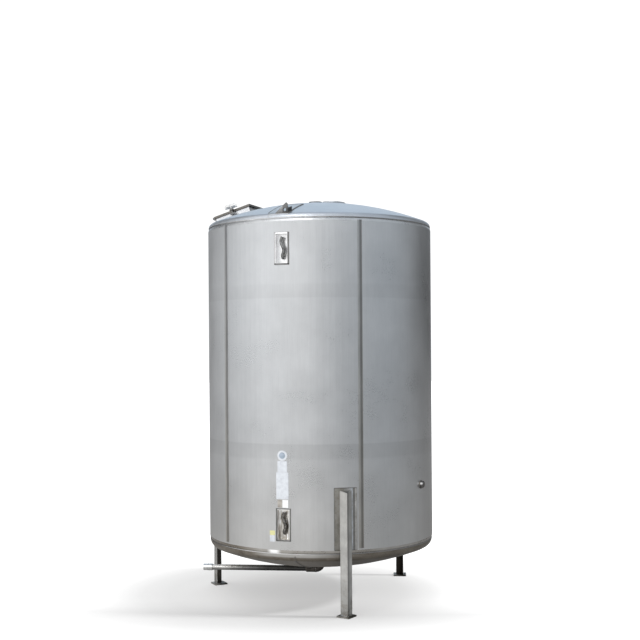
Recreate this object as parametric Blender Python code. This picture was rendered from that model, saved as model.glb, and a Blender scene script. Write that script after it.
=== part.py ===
"""Upright insulated storage tank in stainless steel, on three angle legs.

Metres, +Z up, the ground at z = 0. The origin is the middle of the whole outline, so the
tank's own axis, which carries every piece, stands a little to the right of it and behind.
An azimuth is counted in degrees from the front, -Y, towards +X. A piece at an
azimuth is modelled with x pointing outward and y along the wall, and then turned.
"""
import math
from collections import namedtuple

import bmesh
import bpy
from mathutils import Matrix, Vector

# The tank body
AXIS_X = 0.0304
AXIS_Y = 0.0284
TANK_RADIUS = 0.800
WALL_THICKNESS = 0.050
LOWER_RIM_Z = 0.400
UPPER_RIM_Z = 2.612
RIM_BAND_HEIGHT = 0.030
RIM_ROLL_RADIUS = 0.035
RIM_ROLL_STEPS = 4
RIM_JOINT_HEIGHT = 0.0045
RIM_FACETS = 120
GAP = 0.0003

# The dished ends: a flat crown, a tight knuckle and a short flange over the rim band.
# The lower end is dished a little deeper, with a wider knuckle.
HEAD_EDGE_RADIUS = 0.797
HEAD_KNUCKLE_RADIUS = 0.030
HEAD_RISE = 0.177
LOWER_KNUCKLE_RADIUS = 0.050
LOWER_HEAD_RISE = 0.190
HEAD_FLANGE = 0.003
HEAD_SPIGOT_RADIUS = 0.772
HEAD_LIP_RADIUS = 0.745
HEAD_CROWN_STEPS = 9
HEAD_KNUCKLE_STEPS = 4
HEAD_INNER_STEPS = 5
HEAD_BLOCK_DEPTH = 0.200

# The five jacket panels and the strips over their joints
PANEL_COUNT = 5
FIRST_JOINT_AZIMUTH = 19.2
PANEL_FACETS = 24
STRIP_WIDTH = 0.032
STRIP_THICKNESS = 0.003
STRIP_BOTTOM_Z = 0.441
STRIP_TOP_Z = 2.590

# The three legs
LEG_AZIMUTHS = {"front": 11.5, "rear_left": -108.5, "rear_right": 131.5}
LEG_FLANGE = 0.055
LEG_STEEL = 0.006
LEG_TOP_Z = 0.822
LEG_TOP_SLANT = 0.014
LEG_PAD_WIDTH = 0.150
LEG_PAD_THICKNESS = 0.003
LEG_PAD_BOTTOM_Z = 0.430
LEG_PAD_TOP_Z = 0.838
FOOT_SIDE = 0.095
FOOT_OVERHANG = 0.020
FOOT_THICKNESS = 0.010

# The two recesses for the jacket pipes, both at one azimuth
RECESS_AZIMUTH = -18.0
RECESS_HEIGHTS = {"upper": 2.404, "lower": 0.596}
RECESS_WIDTH = 0.080
RECESS_HEIGHT = 0.192
RECESS_DEPTH = 0.040
RECESS_FRAME_MARGIN = 0.010
RECESS_FRAME_THICKNESS = 0.004
JACKET_PIPE_RADIUS = 0.011
JACKET_PIPE_FOOT = -0.060
JACKET_PIPE_TOP = 0.078
JACKET_PIPE_SINK = 0.0165
JACKET_PIPE_STUB = 0.006
JACKET_PIPE_SWAY = 0.009
JACKET_PIPE_BEND_STEPS = 5
JACKET_PIPE_SWAY_STEPS = 16

# The small boss low on the right
BOSS_AZIMUTH = 59.0
BOSS_Z = 0.8135
BOSS_RADIUS = 0.025
BOSS_LENGTH = 0.026
BOSS_CROWN = 0.010
BOSS_CROWN_SHARE = 0.86
BOSS_CROWN_STEPS = 5

# The drain below the tank
DRAIN_AZIMUTH = -96.0
DRAIN_PIPE_Z = 0.160
DRAIN_BEND_RADIUS = 0.040
DRAIN_FITTING_RADIUS = 0.026
DRAIN_PIPE_RADIUS = 0.020
DRAIN_BORE_RADIUS = 0.0165
DRAIN_COUPLING_END = 0.110
DRAIN_UNION_START = 0.800
DRAIN_UNION_RADIUS = 0.0235
DRAIN_END = 0.866

# The manway on the dome; half sizes are along the slope and along the rim
MANWAY_AZIMUTH = -110.0
MANWAY_DISTANCE = 0.612
MANWAY_NECK_TOP_Z = 2.752
MANWAY_TILT = 16.5
MANWAY_HALF_LENGTH = 0.135
MANWAY_HALF_WIDTH = 0.170
MANWAY_NECK_WALL = 0.004
MANWAY_NECK_DEPTH = 0.110
LID_OVERHANG = 0.012
LID_SKIRT = 0.003
LID_PLATE = 0.004
LID_SKIRT_DEPTH = 0.0155
GASKET_WIDTH = 0.012
GASKET_THICKNESS = 0.005
GASKET_MARGIN = 0.002

# The lid's hinge along its outer side
HINGE_OUT = 0.162
HINGE_UP = 0.004
HINGE_STATIONS = {"near": 1.0, "far": -1.0}
HINGE_EAR_CENTRE = 0.152
HINGE_LUG_CENTRE = 0.141
HINGE_EAR_THICKNESS = 0.008
HINGE_EYE_RADIUS = 0.008
HINGE_EYE_STEPS = 10
HINGE_PIN_RADIUS = 0.004
HINGE_PIN_STAND = 0.003
HINGE_HOLE_RADIUS = 0.0048
HINGE_ARM_TOP = -0.018
HINGE_ARM_BOTTOM = -0.040
HINGE_ARM_TIP = -0.011

# The two captive clamp screws at the lid's ends
CLAMP_OFFSET = 0.200
CLAMP_SHIFT = -0.012
CLAMP_HALF_WIDTH = 0.014
CLAMP_EAR_REACH = 0.216
CLAMP_EAR_THICKNESS = 0.005
CLAMP_SCREW_RADIUS = 0.005
CLAMP_SCREW_BOTTOM = -0.028
CLAMP_LUG_TOP = -0.018
CLAMP_LUG_BOTTOM = -0.030
CLAMP_LUG_HOLE_RADIUS = 0.0085
CLAMP_COLLAR_RADIUS = 0.010
KNOB_RADIUS = 0.050
KNOB_BOTTOM = 0.024
KNOB_TOP = 0.042
KNOB_LOBES = 5
KNOB_LOBE_SHARE = 0.14
KNOB_STEPS = 40

# The lifting lugs, front and back, each on a doubler plate; heights are over the foot
LUG_AZIMUTHS = {"front": -18.5, "rear": 161.5}
LUG_DISTANCE = 0.783
LUG_THICKNESS = 0.010
LUG_FOOT_Z = 2.632
LUG_SUNK = 0.030
LUG_OUTLINE = ((0.052, 0.012), (0.043, 0.068), (0.036, 0.0745), (0.029, 0.069), (-0.041, 0.006))
LUG_HOLE_RADIUS = 0.0105
LUG_HOLE_ACROSS = 0.026
LUG_HOLE_UP = 0.027
LUG_RIB_SIDE = 0.051
LUG_RIB_THICKNESS = 0.010
LUG_RIB_OUTLINE = ((0.718, -0.012), (0.780, -0.012), (0.780, 0.040), (0.718, 0.056))
LUG_PAD_SHIFT = -0.0195
LUG_PAD_HALF_WIDTH = 0.0735
LUG_PAD_INNER = 0.500
LUG_PAD_OUTER = 0.792
LUG_PAD_THICKNESS = 0.003

# The vent and the capped port at the top of the dome
VENT_CENTRE = (-0.026, -0.040)
VENT_NECK_RADIUS = 0.038
VENT_BORE_RADIUS = 0.033
VENT_NECK_TOP_Z = 2.794
VENT_CAP_RADIUS = 0.047
VENT_CAP_THICKNESS = 0.012
PORT_AZIMUTH = 115.0
PORT_DISTANCE = 0.118
PORT_NECK_RADIUS = 0.070
PORT_CAP_RADIUS = 0.084
PORT_CAP_THICKNESS = 0.010
PORT_HEIGHT = 0.027

APEX_Z = UPPER_RIM_Z + HEAD_RISE
BAND_FOOT_Z = UPPER_RIM_Z - RIM_BAND_HEIGHT
MIRROR_Z = LOWER_RIM_Z + UPPER_RIM_Z

STEEL_COOL = (0.62, 0.64, 0.66, 1.0)
STEEL_WARM = (0.58, 0.57, 0.55, 1.0)
STEEL_DULL = (0.42, 0.40, 0.37, 1.0)
STEEL_BRIGHT = (0.74, 0.74, 0.73, 1.0)
CAST_DARK = (0.16, 0.15, 0.14, 1.0)
RUBBER_GREY = (0.09, 0.09, 0.09, 1.0)

EndShape = namedtuple("EndShape", "knuckle knuckle_centre crown crown_centre_z crown_angle")


def end_shape(knuckle, rise):
    """The section of an end over the upper rim, where its knuckle and its crown meet smoothly."""
    centre = HEAD_EDGE_RADIUS - knuckle
    crown = (rise ** 2 + centre ** 2 - knuckle ** 2) / (2 * (rise - knuckle))
    return EndShape(knuckle, centre, crown, UPPER_RIM_Z + rise - crown,
                    math.asin(centre / (crown - knuckle)))


TOP_END = end_shape(HEAD_KNUCKLE_RADIUS, HEAD_RISE)
LOWER_END = end_shape(LOWER_KNUCKLE_RADIUS, LOWER_HEAD_RISE)


def clear_scene():
    for item in list(bpy.data.objects):
        bpy.data.objects.remove(item, do_unlink=True)


def add_material(item, colour, roughness, metallic):
    material = bpy.data.materials.new(item.name + "_finish")
    material.use_nodes = True
    shader = material.node_tree.nodes["Principled BSDF"]
    shader.inputs["Base Color"].default_value = colour
    shader.inputs["Roughness"].default_value = roughness
    shader.inputs["Metallic"].default_value = metallic
    item.data.materials.append(material)


def add_object(name, data, parent=None):
    """A new object, carried by the tank's axis unless another parent is given."""
    carrier = parent or bpy.data.objects.get("tank_axis")
    item = bpy.data.objects.new(name, data)
    bpy.context.scene.collection.objects.link(item)
    item.parent = carrier
    return item


def mesh_from(bm, name):
    bmesh.ops.recalc_face_normals(bm, faces=bm.faces)
    mesh = bpy.data.meshes.new(name)
    bm.to_mesh(mesh)
    bm.free()
    return mesh


def smooth(item, angle=30.0):
    item.data.shade_smooth()
    item.data.set_sharp_from_angle(angle=math.radians(angle))


def box_mesh(name, low, high):
    bm = bmesh.new()
    size = Vector(high) - Vector(low)
    middle = (Vector(high) + Vector(low)) / 2
    place = Matrix.Translation(middle) @ Matrix.Diagonal((*size, 1.0))
    bmesh.ops.create_cube(bm, size=1.0, matrix=place)
    return mesh_from(bm, name)


def prism_mesh(name, outline, low, high):
    """An outline in x and y, raised from low to high."""
    bm = bmesh.new()
    face = bm.faces.new([bm.verts.new((x, y, low)) for x, y in outline])
    raised = bmesh.ops.extrude_face_region(bm, geom=[face])
    moved = [part for part in raised["geom"] if isinstance(part, bmesh.types.BMVert)]
    bmesh.ops.translate(bm, verts=moved, vec=(0, 0, high - low))
    return mesh_from(bm, name)


def turned_mesh(name, profile, steps):
    """A profile of radius and height points, turned about z."""
    bm = bmesh.new()
    verts = [bm.verts.new((radius, 0, height)) for radius, height in profile]
    edges = []
    for first, second in zip(verts, verts[1:] + verts[:1]):
        if first.co.x > 0 or second.co.x > 0:
            edges.append(bm.edges.new((first, second)))
    bmesh.ops.spin(bm, geom=verts + edges, cent=(0, 0, 0), axis=(0, 0, 1),
                   angle=math.tau, steps=steps, use_merge=True)
    bmesh.ops.remove_doubles(bm, verts=bm.verts, dist=0.00001)
    return mesh_from(bm, name)


def curved_slab_mesh(name, inner, outer, half_angle, low, high, steps):
    """A plate bent round the tank: its inner face stays outside the radius inner."""
    reach = 1.0 / math.cos(half_angle / steps)
    angles = [half_angle * (2 * step / steps - 1) for step in range(steps + 1)]
    outline = [(outer * math.cos(a), outer * math.sin(a)) for a in angles]
    outline += [(inner * reach * math.cos(a), inner * reach * math.sin(a)) for a in reversed(angles)]
    return prism_mesh(name, outline, low, high)


def turn_to(item, azimuth, tilt=0.0):
    item.rotation_euler = (0, math.radians(tilt), math.radians(azimuth - 90))


def outward(azimuth, distance, height):
    angle = math.radians(azimuth)
    return Vector((distance * math.sin(angle), -distance * math.cos(angle), height))


def as_guide(item):
    item.hide_render = True
    item.display_type = "WIRE"


def combine(item, tool, operation):
    as_guide(tool)
    step = item.modifiers.new(tool.name, "BOOLEAN")
    step.operation = operation
    step.solver = "EXACT"
    step.object = tool


def cut(item, tool):
    combine(item, tool, "DIFFERENCE")


def weld(item, tool):
    combine(item, tool, "UNION")


def keep_inside(item, tool):
    combine(item, tool, "INTERSECT")


def disc(name, radius, low, high, steps, centre=(0.0, 0.0), parent=None):
    """A round bar or cutter along z."""
    profile = [(0, low), (radius, low), (radius, high), (0, high)]
    item = add_object(name, turned_mesh(name, profile, steps), parent)
    item.location = (centre[0], centre[1], 0)
    return item


def crown_arc(shape, offset, edge, steps):
    """Points of the crown's section at an offset from its outer face, from the axis to an edge."""
    radius = shape.crown + offset
    arc = []
    for step in range(steps + 1):
        across = edge * step / steps
        arc.append((across, shape.crown_centre_z + math.sqrt(radius ** 2 - across ** 2)))
    return arc


def head_arc(shape, offset):
    """Points of the whole section at an offset from the outer face: the crown, then the knuckle."""
    crown_edge = (shape.crown + offset) * math.sin(shape.crown_angle)
    arc = crown_arc(shape, offset, crown_edge, HEAD_CROWN_STEPS)
    radius = shape.knuckle + offset
    for step in range(1, HEAD_KNUCKLE_STEPS + 1):
        angle = shape.crown_angle + (math.pi / 2 - shape.crown_angle) * step / HEAD_KNUCKLE_STEPS
        arc.append((shape.knuckle_centre + radius * math.sin(angle),
                    UPPER_RIM_Z + radius * math.cos(angle)))
    return arc


def head_profile(shape):
    """The dished end: its flange rests over the rim band and a spigot stands inside the band."""
    flange_z = UPPER_RIM_Z - HEAD_FLANGE
    edge = [(HEAD_EDGE_RADIUS, flange_z), (HEAD_SPIGOT_RADIUS, flange_z),
            (HEAD_SPIGOT_RADIUS, BAND_FOOT_Z), (HEAD_LIP_RADIUS, BAND_FOOT_Z)]
    inner = crown_arc(shape, -WALL_THICKNESS, HEAD_LIP_RADIUS, HEAD_INNER_STEPS)
    return head_arc(shape, 0.0) + edge + inner[::-1]


def head_block_profile(shape, offset):
    """A solid block under the dome, its top at an offset from the outer face."""
    floor_z = UPPER_RIM_Z - HEAD_BLOCK_DEPTH
    return head_arc(shape, offset) + [(HEAD_EDGE_RADIUS + offset, floor_z), (0, floor_z)]


def rim_profile():
    """The band under the dome's flange, rolled inward towards the joint."""
    inner = HEAD_SPIGOT_RADIUS + GAP
    top = UPPER_RIM_Z - HEAD_FLANGE - RIM_JOINT_HEIGHT
    end = math.asin((top - BAND_FOOT_Z) / RIM_ROLL_RADIUS)
    points = [(inner, BAND_FOOT_Z)]
    for step in range(RIM_ROLL_STEPS + 1):
        angle = end * step / RIM_ROLL_STEPS
        points.append((TANK_RADIUS - RIM_ROLL_RADIUS * (1 - math.cos(angle)),
                       BAND_FOOT_Z + RIM_ROLL_RADIUS * math.sin(angle)))
    return points + [(inner, top)]


def head_block(name, offset, lower=False):
    """A cutter that fills the space under the dome, or over the lower end."""
    profile = head_block_profile(LOWER_END if lower else TOP_END, offset)
    if lower:
        profile = mirrored(profile)
    return add_object(name, turned_mesh(name, profile, RIM_FACETS))


def mirrored(profile):
    """The same section for the lower end, turned over at mid height."""
    return [(radius, MIRROR_Z - height) for radius, height in reversed(profile)]


def build_heads():
    """The dished ends and the rolled bands that frame them."""
    pieces = (("top_head", head_profile(TOP_END), STEEL_COOL),
              ("bottom_head", mirrored(head_profile(LOWER_END)), STEEL_DULL),
              ("top_rim_band", rim_profile(), STEEL_COOL),
              ("bottom_rim_band", mirrored(rim_profile()), STEEL_WARM))
    for name, profile, colour in pieces:
        item = add_object(name, turned_mesh(name, profile, RIM_FACETS))
        smooth(item)
        add_material(item, colour, 0.35, 1.0)
    drain_hole = disc("drain_hole_cutter", DRAIN_BORE_RADIUS, 0.1, 0.4, 24)
    cut(bpy.data.objects["bottom_head"], drain_hole)
    vent_hole = disc("vent_hole_cutter", VENT_BORE_RADIUS, 2.6, 2.9, 24, VENT_CENTRE)
    cut(bpy.data.objects["top_head"], vent_hole)


def build_jacket():
    """Five wall panels between the rim bands, and a strip over each joint."""
    low = MIRROR_Z - BAND_FOOT_Z + GAP
    high = BAND_FOOT_Z - GAP
    spread = math.tau / PANEL_COUNT
    half_panel = spread / 2 - GAP / TANK_RADIUS
    panels = []
    for number in range(PANEL_COUNT):
        joint = FIRST_JOINT_AZIMUTH + number * 360 / PANEL_COUNT
        name = f"jacket_panel_{number + 1}"
        mesh = curved_slab_mesh(name, TANK_RADIUS - WALL_THICKNESS, TANK_RADIUS,
                                half_panel, low, high, PANEL_FACETS)
        panel = add_object(name, mesh)
        turn_to(panel, joint - 180 / PANEL_COUNT)
        smooth(panel)
        add_material(panel, STEEL_COOL, 0.38, 1.0)
        panels.append(panel)
        name = f"joint_strip_{number + 1}"
        mesh = curved_slab_mesh(name, TANK_RADIUS + GAP, TANK_RADIUS + STRIP_THICKNESS,
                                STRIP_WIDTH / 2 / TANK_RADIUS, STRIP_BOTTOM_Z, STRIP_TOP_Z, 2)
        strip = add_object(name, mesh)
        turn_to(strip, joint)
        smooth(strip)
        add_material(strip, STEEL_DULL, 0.45, 1.0)
    return panels


def build_recesses(panel):
    """A framed recess near each end, with the pipe of the cooling jacket in it."""
    for place, height in RECESS_HEIGHTS.items():
        half = RECESS_HEIGHT / 2
        low = (TANK_RADIUS - RECESS_DEPTH, -RECESS_WIDTH / 2, height - half)
        high = (TANK_RADIUS + 0.03, RECESS_WIDTH / 2, height + half)
        name = f"{place}_recess_cutter"
        cutter = add_object(name, box_mesh(name, low, high))
        turn_to(cutter, RECESS_AZIMUTH)
        cut(panel, cutter)

        name = f"{place}_recess_frame"
        half_angle = (RECESS_WIDTH / 2 + RECESS_FRAME_MARGIN) / TANK_RADIUS
        half_frame = half + RECESS_FRAME_MARGIN
        outer = TANK_RADIUS + RECESS_FRAME_THICKNESS
        mesh = curved_slab_mesh(name, TANK_RADIUS + GAP, outer, half_angle,
                                height - half_frame, height + half_frame, 4)
        frame = add_object(name, mesh)
        turn_to(frame, RECESS_AZIMUTH)
        cut(frame, cutter)
        add_material(frame, STEEL_BRIGHT, 0.25, 1.0)
        build_jacket_pipe(place, height)


def build_jacket_pipe(place, height):
    """A pipe that leaves the recess wall low down, sways once and ends below the top."""
    name = f"{place}_jacket_pipe"
    wall = TANK_RADIUS - RECESS_DEPTH + GAP
    run = TANK_RADIUS - JACKET_PIPE_SINK
    route = bpy.data.curves.new(name, "CURVE")
    route.dimensions = "3D"
    route.bevel_depth = JACKET_PIPE_RADIUS
    route.bevel_resolution = 3
    route.use_fill_caps = True
    line = route.splines.new("POLY")
    knee = wall + JACKET_PIPE_STUB
    bend = run - knee
    points = [(wall, 0.0, JACKET_PIPE_FOOT), (knee, 0.0, JACKET_PIPE_FOOT)]
    for step in range(1, JACKET_PIPE_BEND_STEPS + 1):
        angle = math.pi / 2 * step / JACKET_PIPE_BEND_STEPS
        points.append((knee + bend * math.sin(angle), 0.0,
                       JACKET_PIPE_FOOT + bend * (1 - math.cos(angle))))
    start = JACKET_PIPE_FOOT + bend
    length = JACKET_PIPE_TOP - start
    for step in range(1, JACKET_PIPE_SWAY_STEPS + 1):
        share = step / JACKET_PIPE_SWAY_STEPS
        sway = JACKET_PIPE_SWAY * math.sin(math.tau * share)
        points.append((run, sway, start + length * share))
    line.points.add(len(points) - 1)
    for point, place_at in zip(line.points, points):
        point.co = (*place_at, 1.0)
    pipe = add_object(name, route)
    pipe.location = (0, 0, height)
    turn_to(pipe, RECESS_AZIMUTH)
    add_material(pipe, STEEL_BRIGHT, 0.3, 1.0)


def build_legs():
    """Angle steel legs with the corner outward, on doubler pads and foot plates."""
    pad_outer = TANK_RADIUS + GAP + LEG_PAD_THICKNESS
    slope = math.sqrt(0.5)
    toe_y = (LEG_FLANGE - LEG_STEEL) * slope
    toe_x = math.sqrt(pad_outer ** 2 - toe_y ** 2) + GAP
    corner = toe_x + (LEG_FLANGE + LEG_STEEL) * slope
    for side, azimuth in LEG_AZIMUTHS.items():
        name = f"leg_{side}"
        outline = [(corner, 0.0),
                   (corner - LEG_FLANGE * slope, LEG_FLANGE * slope),
                   (toe_x, toe_y),
                   (corner - LEG_STEEL / slope, 0.0),
                   (toe_x, -toe_y),
                   (corner - LEG_FLANGE * slope, -LEG_FLANGE * slope)]
        mesh = prism_mesh(name, outline, FOOT_THICKNESS + GAP, LEG_TOP_Z)
        for vertex in mesh.vertices:
            if vertex.co.z > LEG_TOP_Z - 0.001:
                vertex.co.z -= LEG_TOP_SLANT * (vertex.co.x - toe_x) / (corner - toe_x)
        leg = add_object(name, mesh)
        turn_to(leg, azimuth)
        add_material(leg, STEEL_WARM, 0.4, 1.0)

        name = f"leg_pad_{side}"
        mesh = curved_slab_mesh(name, TANK_RADIUS + GAP, pad_outer, LEG_PAD_WIDTH / 2 / TANK_RADIUS,
                                LEG_PAD_BOTTOM_Z, LEG_PAD_TOP_Z, 6)
        pad = add_object(name, mesh)
        turn_to(pad, azimuth)
        smooth(pad)
        add_material(pad, STEEL_DULL, 0.45, 1.0)

        name = f"foot_plate_{side}"
        tip = corner + FOOT_OVERHANG / slope
        half = FOOT_SIDE * slope
        outline = [(tip, 0.0), (tip - half, half), (tip - 2 * half, 0.0), (tip - half, -half)]
        foot = add_object(name, prism_mesh(name, outline, 0.0, FOOT_THICKNESS))
        turn_to(foot, azimuth)
        add_material(foot, STEEL_WARM, 0.5, 1.0)


def build_boss():
    """A short plugged boss on the wall, with a domed cap."""
    shoulder = BOSS_LENGTH - BOSS_CROWN
    profile = [(0, 0), (BOSS_RADIUS, 0), (BOSS_RADIUS, shoulder)]
    for step in range(1, BOSS_CROWN_STEPS + 1):
        angle = math.pi / 2 * step / BOSS_CROWN_STEPS
        profile.append((BOSS_RADIUS * BOSS_CROWN_SHARE * math.cos(angle),
                        shoulder + BOSS_CROWN * math.sin(angle)))
    profile[-1] = (0, BOSS_LENGTH)
    boss = add_object("side_boss", turned_mesh("side_boss", profile, 28))
    boss.location = outward(BOSS_AZIMUTH, TANK_RADIUS + GAP, BOSS_Z)
    turn_to(boss, BOSS_AZIMUTH, 90)
    smooth(boss)
    add_material(boss, STEEL_DULL, 0.2, 1.0)


def tube_profile(outer, inner, low, high):
    return [(inner, low), (outer, low), (outer, high), (inner, high)]


def build_drain():
    """The outlet under the middle of the bottom and its pipe out past the wall."""
    bend_z = DRAIN_PIPE_Z + DRAIN_BEND_RADIUS
    neck = add_object("drain_neck", turned_mesh(
        "drain_neck", tube_profile(DRAIN_FITTING_RADIUS, DRAIN_BORE_RADIUS, bend_z + GAP, 0.30), 32))
    cut(neck, head_block("drain_neck_cutter", GAP, lower=True))
    smooth(neck)
    add_material(neck, CAST_DARK, 0.5, 1.0)

    bm = bmesh.new()
    rings = []
    for radius in (DRAIN_FITTING_RADIUS, DRAIN_BORE_RADIUS):
        ring = bmesh.ops.create_circle(bm, radius=radius, segments=32)["verts"]
        rings.append(ring)
    rims = [edge for edge in bm.edges]
    bmesh.ops.bridge_loops(bm, edges=rims)
    bmesh.ops.translate(bm, verts=bm.verts, vec=(0, 0, bend_z))
    start_faces = list(bm.faces)
    bmesh.ops.spin(bm, geom=bm.verts[:] + bm.edges[:] + start_faces,
                   cent=(DRAIN_BEND_RADIUS, 0, bend_z), axis=(0, 1, 0),
                   angle=-math.pi / 2, steps=6, use_duplicate=False)
    elbow = add_object("drain_elbow", mesh_from(bm, "drain_elbow"))
    turn_to(elbow, DRAIN_AZIMUTH)
    smooth(elbow)
    add_material(elbow, CAST_DARK, 0.5, 1.0)

    runs = (("drain_coupling", DRAIN_FITTING_RADIUS, DRAIN_BEND_RADIUS + GAP,
             DRAIN_COUPLING_END, CAST_DARK),
            ("drain_pipe", DRAIN_PIPE_RADIUS, DRAIN_COUPLING_END + GAP,
             DRAIN_UNION_START - GAP, STEEL_WARM),
            ("drain_union", DRAIN_UNION_RADIUS, DRAIN_UNION_START, DRAIN_END, STEEL_BRIGHT))
    for name, radius, start, end, colour in runs:
        mesh = turned_mesh(name, tube_profile(radius, DRAIN_BORE_RADIUS, start, end), 32)
        piece = add_object(name, mesh)
        piece.location = (0, 0, DRAIN_PIPE_Z)
        turn_to(piece, DRAIN_AZIMUTH, 90)
        smooth(piece)
        add_material(piece, colour, 0.35, 1.0)


def build_lifting_lugs():
    """A holed plate with a rib behind it on a doubler, at the front and back of the dome."""
    for side, azimuth in LUG_AZIMUTHS.items():
        name = f"lug_pad_{side}"
        low = (LUG_PAD_INNER, LUG_PAD_SHIFT - LUG_PAD_HALF_WIDTH, UPPER_RIM_Z)
        high = (LUG_PAD_OUTER, LUG_PAD_SHIFT + LUG_PAD_HALF_WIDTH, APEX_Z)
        pad = add_object(name, box_mesh(name, low, high))
        turn_to(pad, azimuth)
        keep_inside(pad, head_block(f"{name}_top_guide", GAP + LUG_PAD_THICKNESS))
        cut(pad, head_block(f"{name}_cutter", GAP))
        add_material(pad, STEEL_COOL, 0.4, 1.0)

        name = f"lifting_lug_{side}"
        outline = [(across, LUG_FOOT_Z + up) for across, up in LUG_OUTLINE]
        outline += [(outline[-1][0], LUG_FOOT_Z - LUG_SUNK), (outline[0][0], LUG_FOOT_Z - LUG_SUNK)]
        mesh = prism_mesh(name, outline, -LUG_THICKNESS / 2, LUG_THICKNESS / 2)
        mesh.transform(Matrix(((0, 0, 1, LUG_DISTANCE), (1, 0, 0, 0), (0, 1, 0, 0), (0, 0, 0, 1))))
        lug = add_object(name, mesh)
        turn_to(lug, azimuth)
        outline = [(out, LUG_FOOT_Z + up) for out, up in LUG_RIB_OUTLINE]
        mesh = prism_mesh(name, outline, -LUG_RIB_SIDE, LUG_RIB_THICKNESS - LUG_RIB_SIDE)
        mesh.transform(Matrix.Rotation(math.radians(90), 4, "X"))
        rib = add_object(f"{name}_rib_guide", mesh, lug)
        weld(lug, rib)
        hole = disc(f"{name}_hole_cutter", LUG_HOLE_RADIUS, -0.05, 0.05, 20, parent=lug)
        hole.rotation_euler = (0, math.radians(90), 0)
        hole.location = (LUG_DISTANCE, LUG_HOLE_ACROSS, LUG_FOOT_Z + LUG_HOLE_UP)
        cut(lug, hole)
        cut(lug, head_block(f"{name}_foot_cutter", 2 * GAP + LUG_PAD_THICKNESS))
        add_material(lug, STEEL_DULL, 0.45, 1.0)


def build_vent():
    """A low capped nozzle and a capped port, side by side at the top of the dome."""
    neck = add_object("vent_neck", turned_mesh("vent_neck", tube_profile(
        VENT_NECK_RADIUS, VENT_BORE_RADIUS, UPPER_RIM_Z, VENT_NECK_TOP_Z), 32))
    neck.location = (*VENT_CENTRE, 0)
    cut(neck, head_block("vent_neck_cutter", GAP))
    smooth(neck)
    add_material(neck, STEEL_DULL, 0.4, 1.0)
    low = VENT_NECK_TOP_Z + GAP
    cap = disc("vent_cap", VENT_CAP_RADIUS, low, low + VENT_CAP_THICKNESS, 32, VENT_CENTRE)
    smooth(cap)
    add_material(cap, STEEL_DULL, 0.4, 1.0)

    shoulder = PORT_HEIGHT - PORT_CAP_THICKNESS
    profile = [(0, 0), (PORT_NECK_RADIUS, 0), (PORT_NECK_RADIUS, shoulder),
               (PORT_CAP_RADIUS, shoulder), (PORT_CAP_RADIUS, PORT_HEIGHT), (0, PORT_HEIGHT)]
    port = add_object("top_port", turned_mesh("top_port", profile, 48))
    slope = math.asin(PORT_DISTANCE / TOP_END.crown)
    foot_z = TOP_END.crown_centre_z + TOP_END.crown * math.cos(slope) + GAP
    port.location = outward(PORT_AZIMUTH, PORT_DISTANCE, foot_z)
    turn_to(port, PORT_AZIMUTH, math.degrees(slope))
    smooth(port)
    add_material(port, STEEL_COOL, 0.4, 1.0)


def frame_box(name, half_u, half_v, wall, low, high, parent, centre=0.0):
    """A rectangular tube about a centre on the slope: the outer box less the inner one."""
    outer = add_object(name, box_mesh(name, (centre - half_u, -half_v, low),
                                      (centre + half_u, half_v, high)), parent)
    name = f"{name}_inner_cutter"
    inner_u = half_u - wall
    inner_v = half_v - wall
    cutter = add_object(name, box_mesh(name, (centre - inner_u, -inner_v, low - 0.05),
                                       (centre + inner_u, inner_v, high + 0.05)), parent)
    cut(outer, cutter)
    return outer


def build_manway():
    """The hatch on the dome: neck, hinge and clamp lugs stay, lid, gasket and screws move."""
    base = add_object("manway_axis", None)
    base.location = outward(MANWAY_AZIMUTH, MANWAY_DISTANCE, MANWAY_NECK_TOP_Z)
    turn_to(base, MANWAY_AZIMUTH, MANWAY_TILT)
    neck = frame_box("manway_neck", MANWAY_HALF_LENGTH, MANWAY_HALF_WIDTH,
                     MANWAY_NECK_WALL, -MANWAY_NECK_DEPTH, 0.0, base)
    cut(neck, head_block("manway_foot_cutter", GAP))
    add_material(neck, STEEL_COOL, 0.35, 1.0)

    half_u = MANWAY_HALF_LENGTH - MANWAY_NECK_WALL
    half_v = MANWAY_HALF_WIDTH - MANWAY_NECK_WALL
    name = "manway_hole_cutter"
    hole = add_object(name, box_mesh(name, (-half_u, -half_v, -0.25), (half_u, half_v, 0.05)), base)
    cut(bpy.data.objects["top_head"], hole)

    lid_axis = add_object("lid_axis", None, base)
    lid_axis.location = (HINGE_OUT, 0, HINGE_UP)
    build_lid(lid_axis)
    build_hinge(base)
    build_clamps(base, lid_axis)


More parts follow.
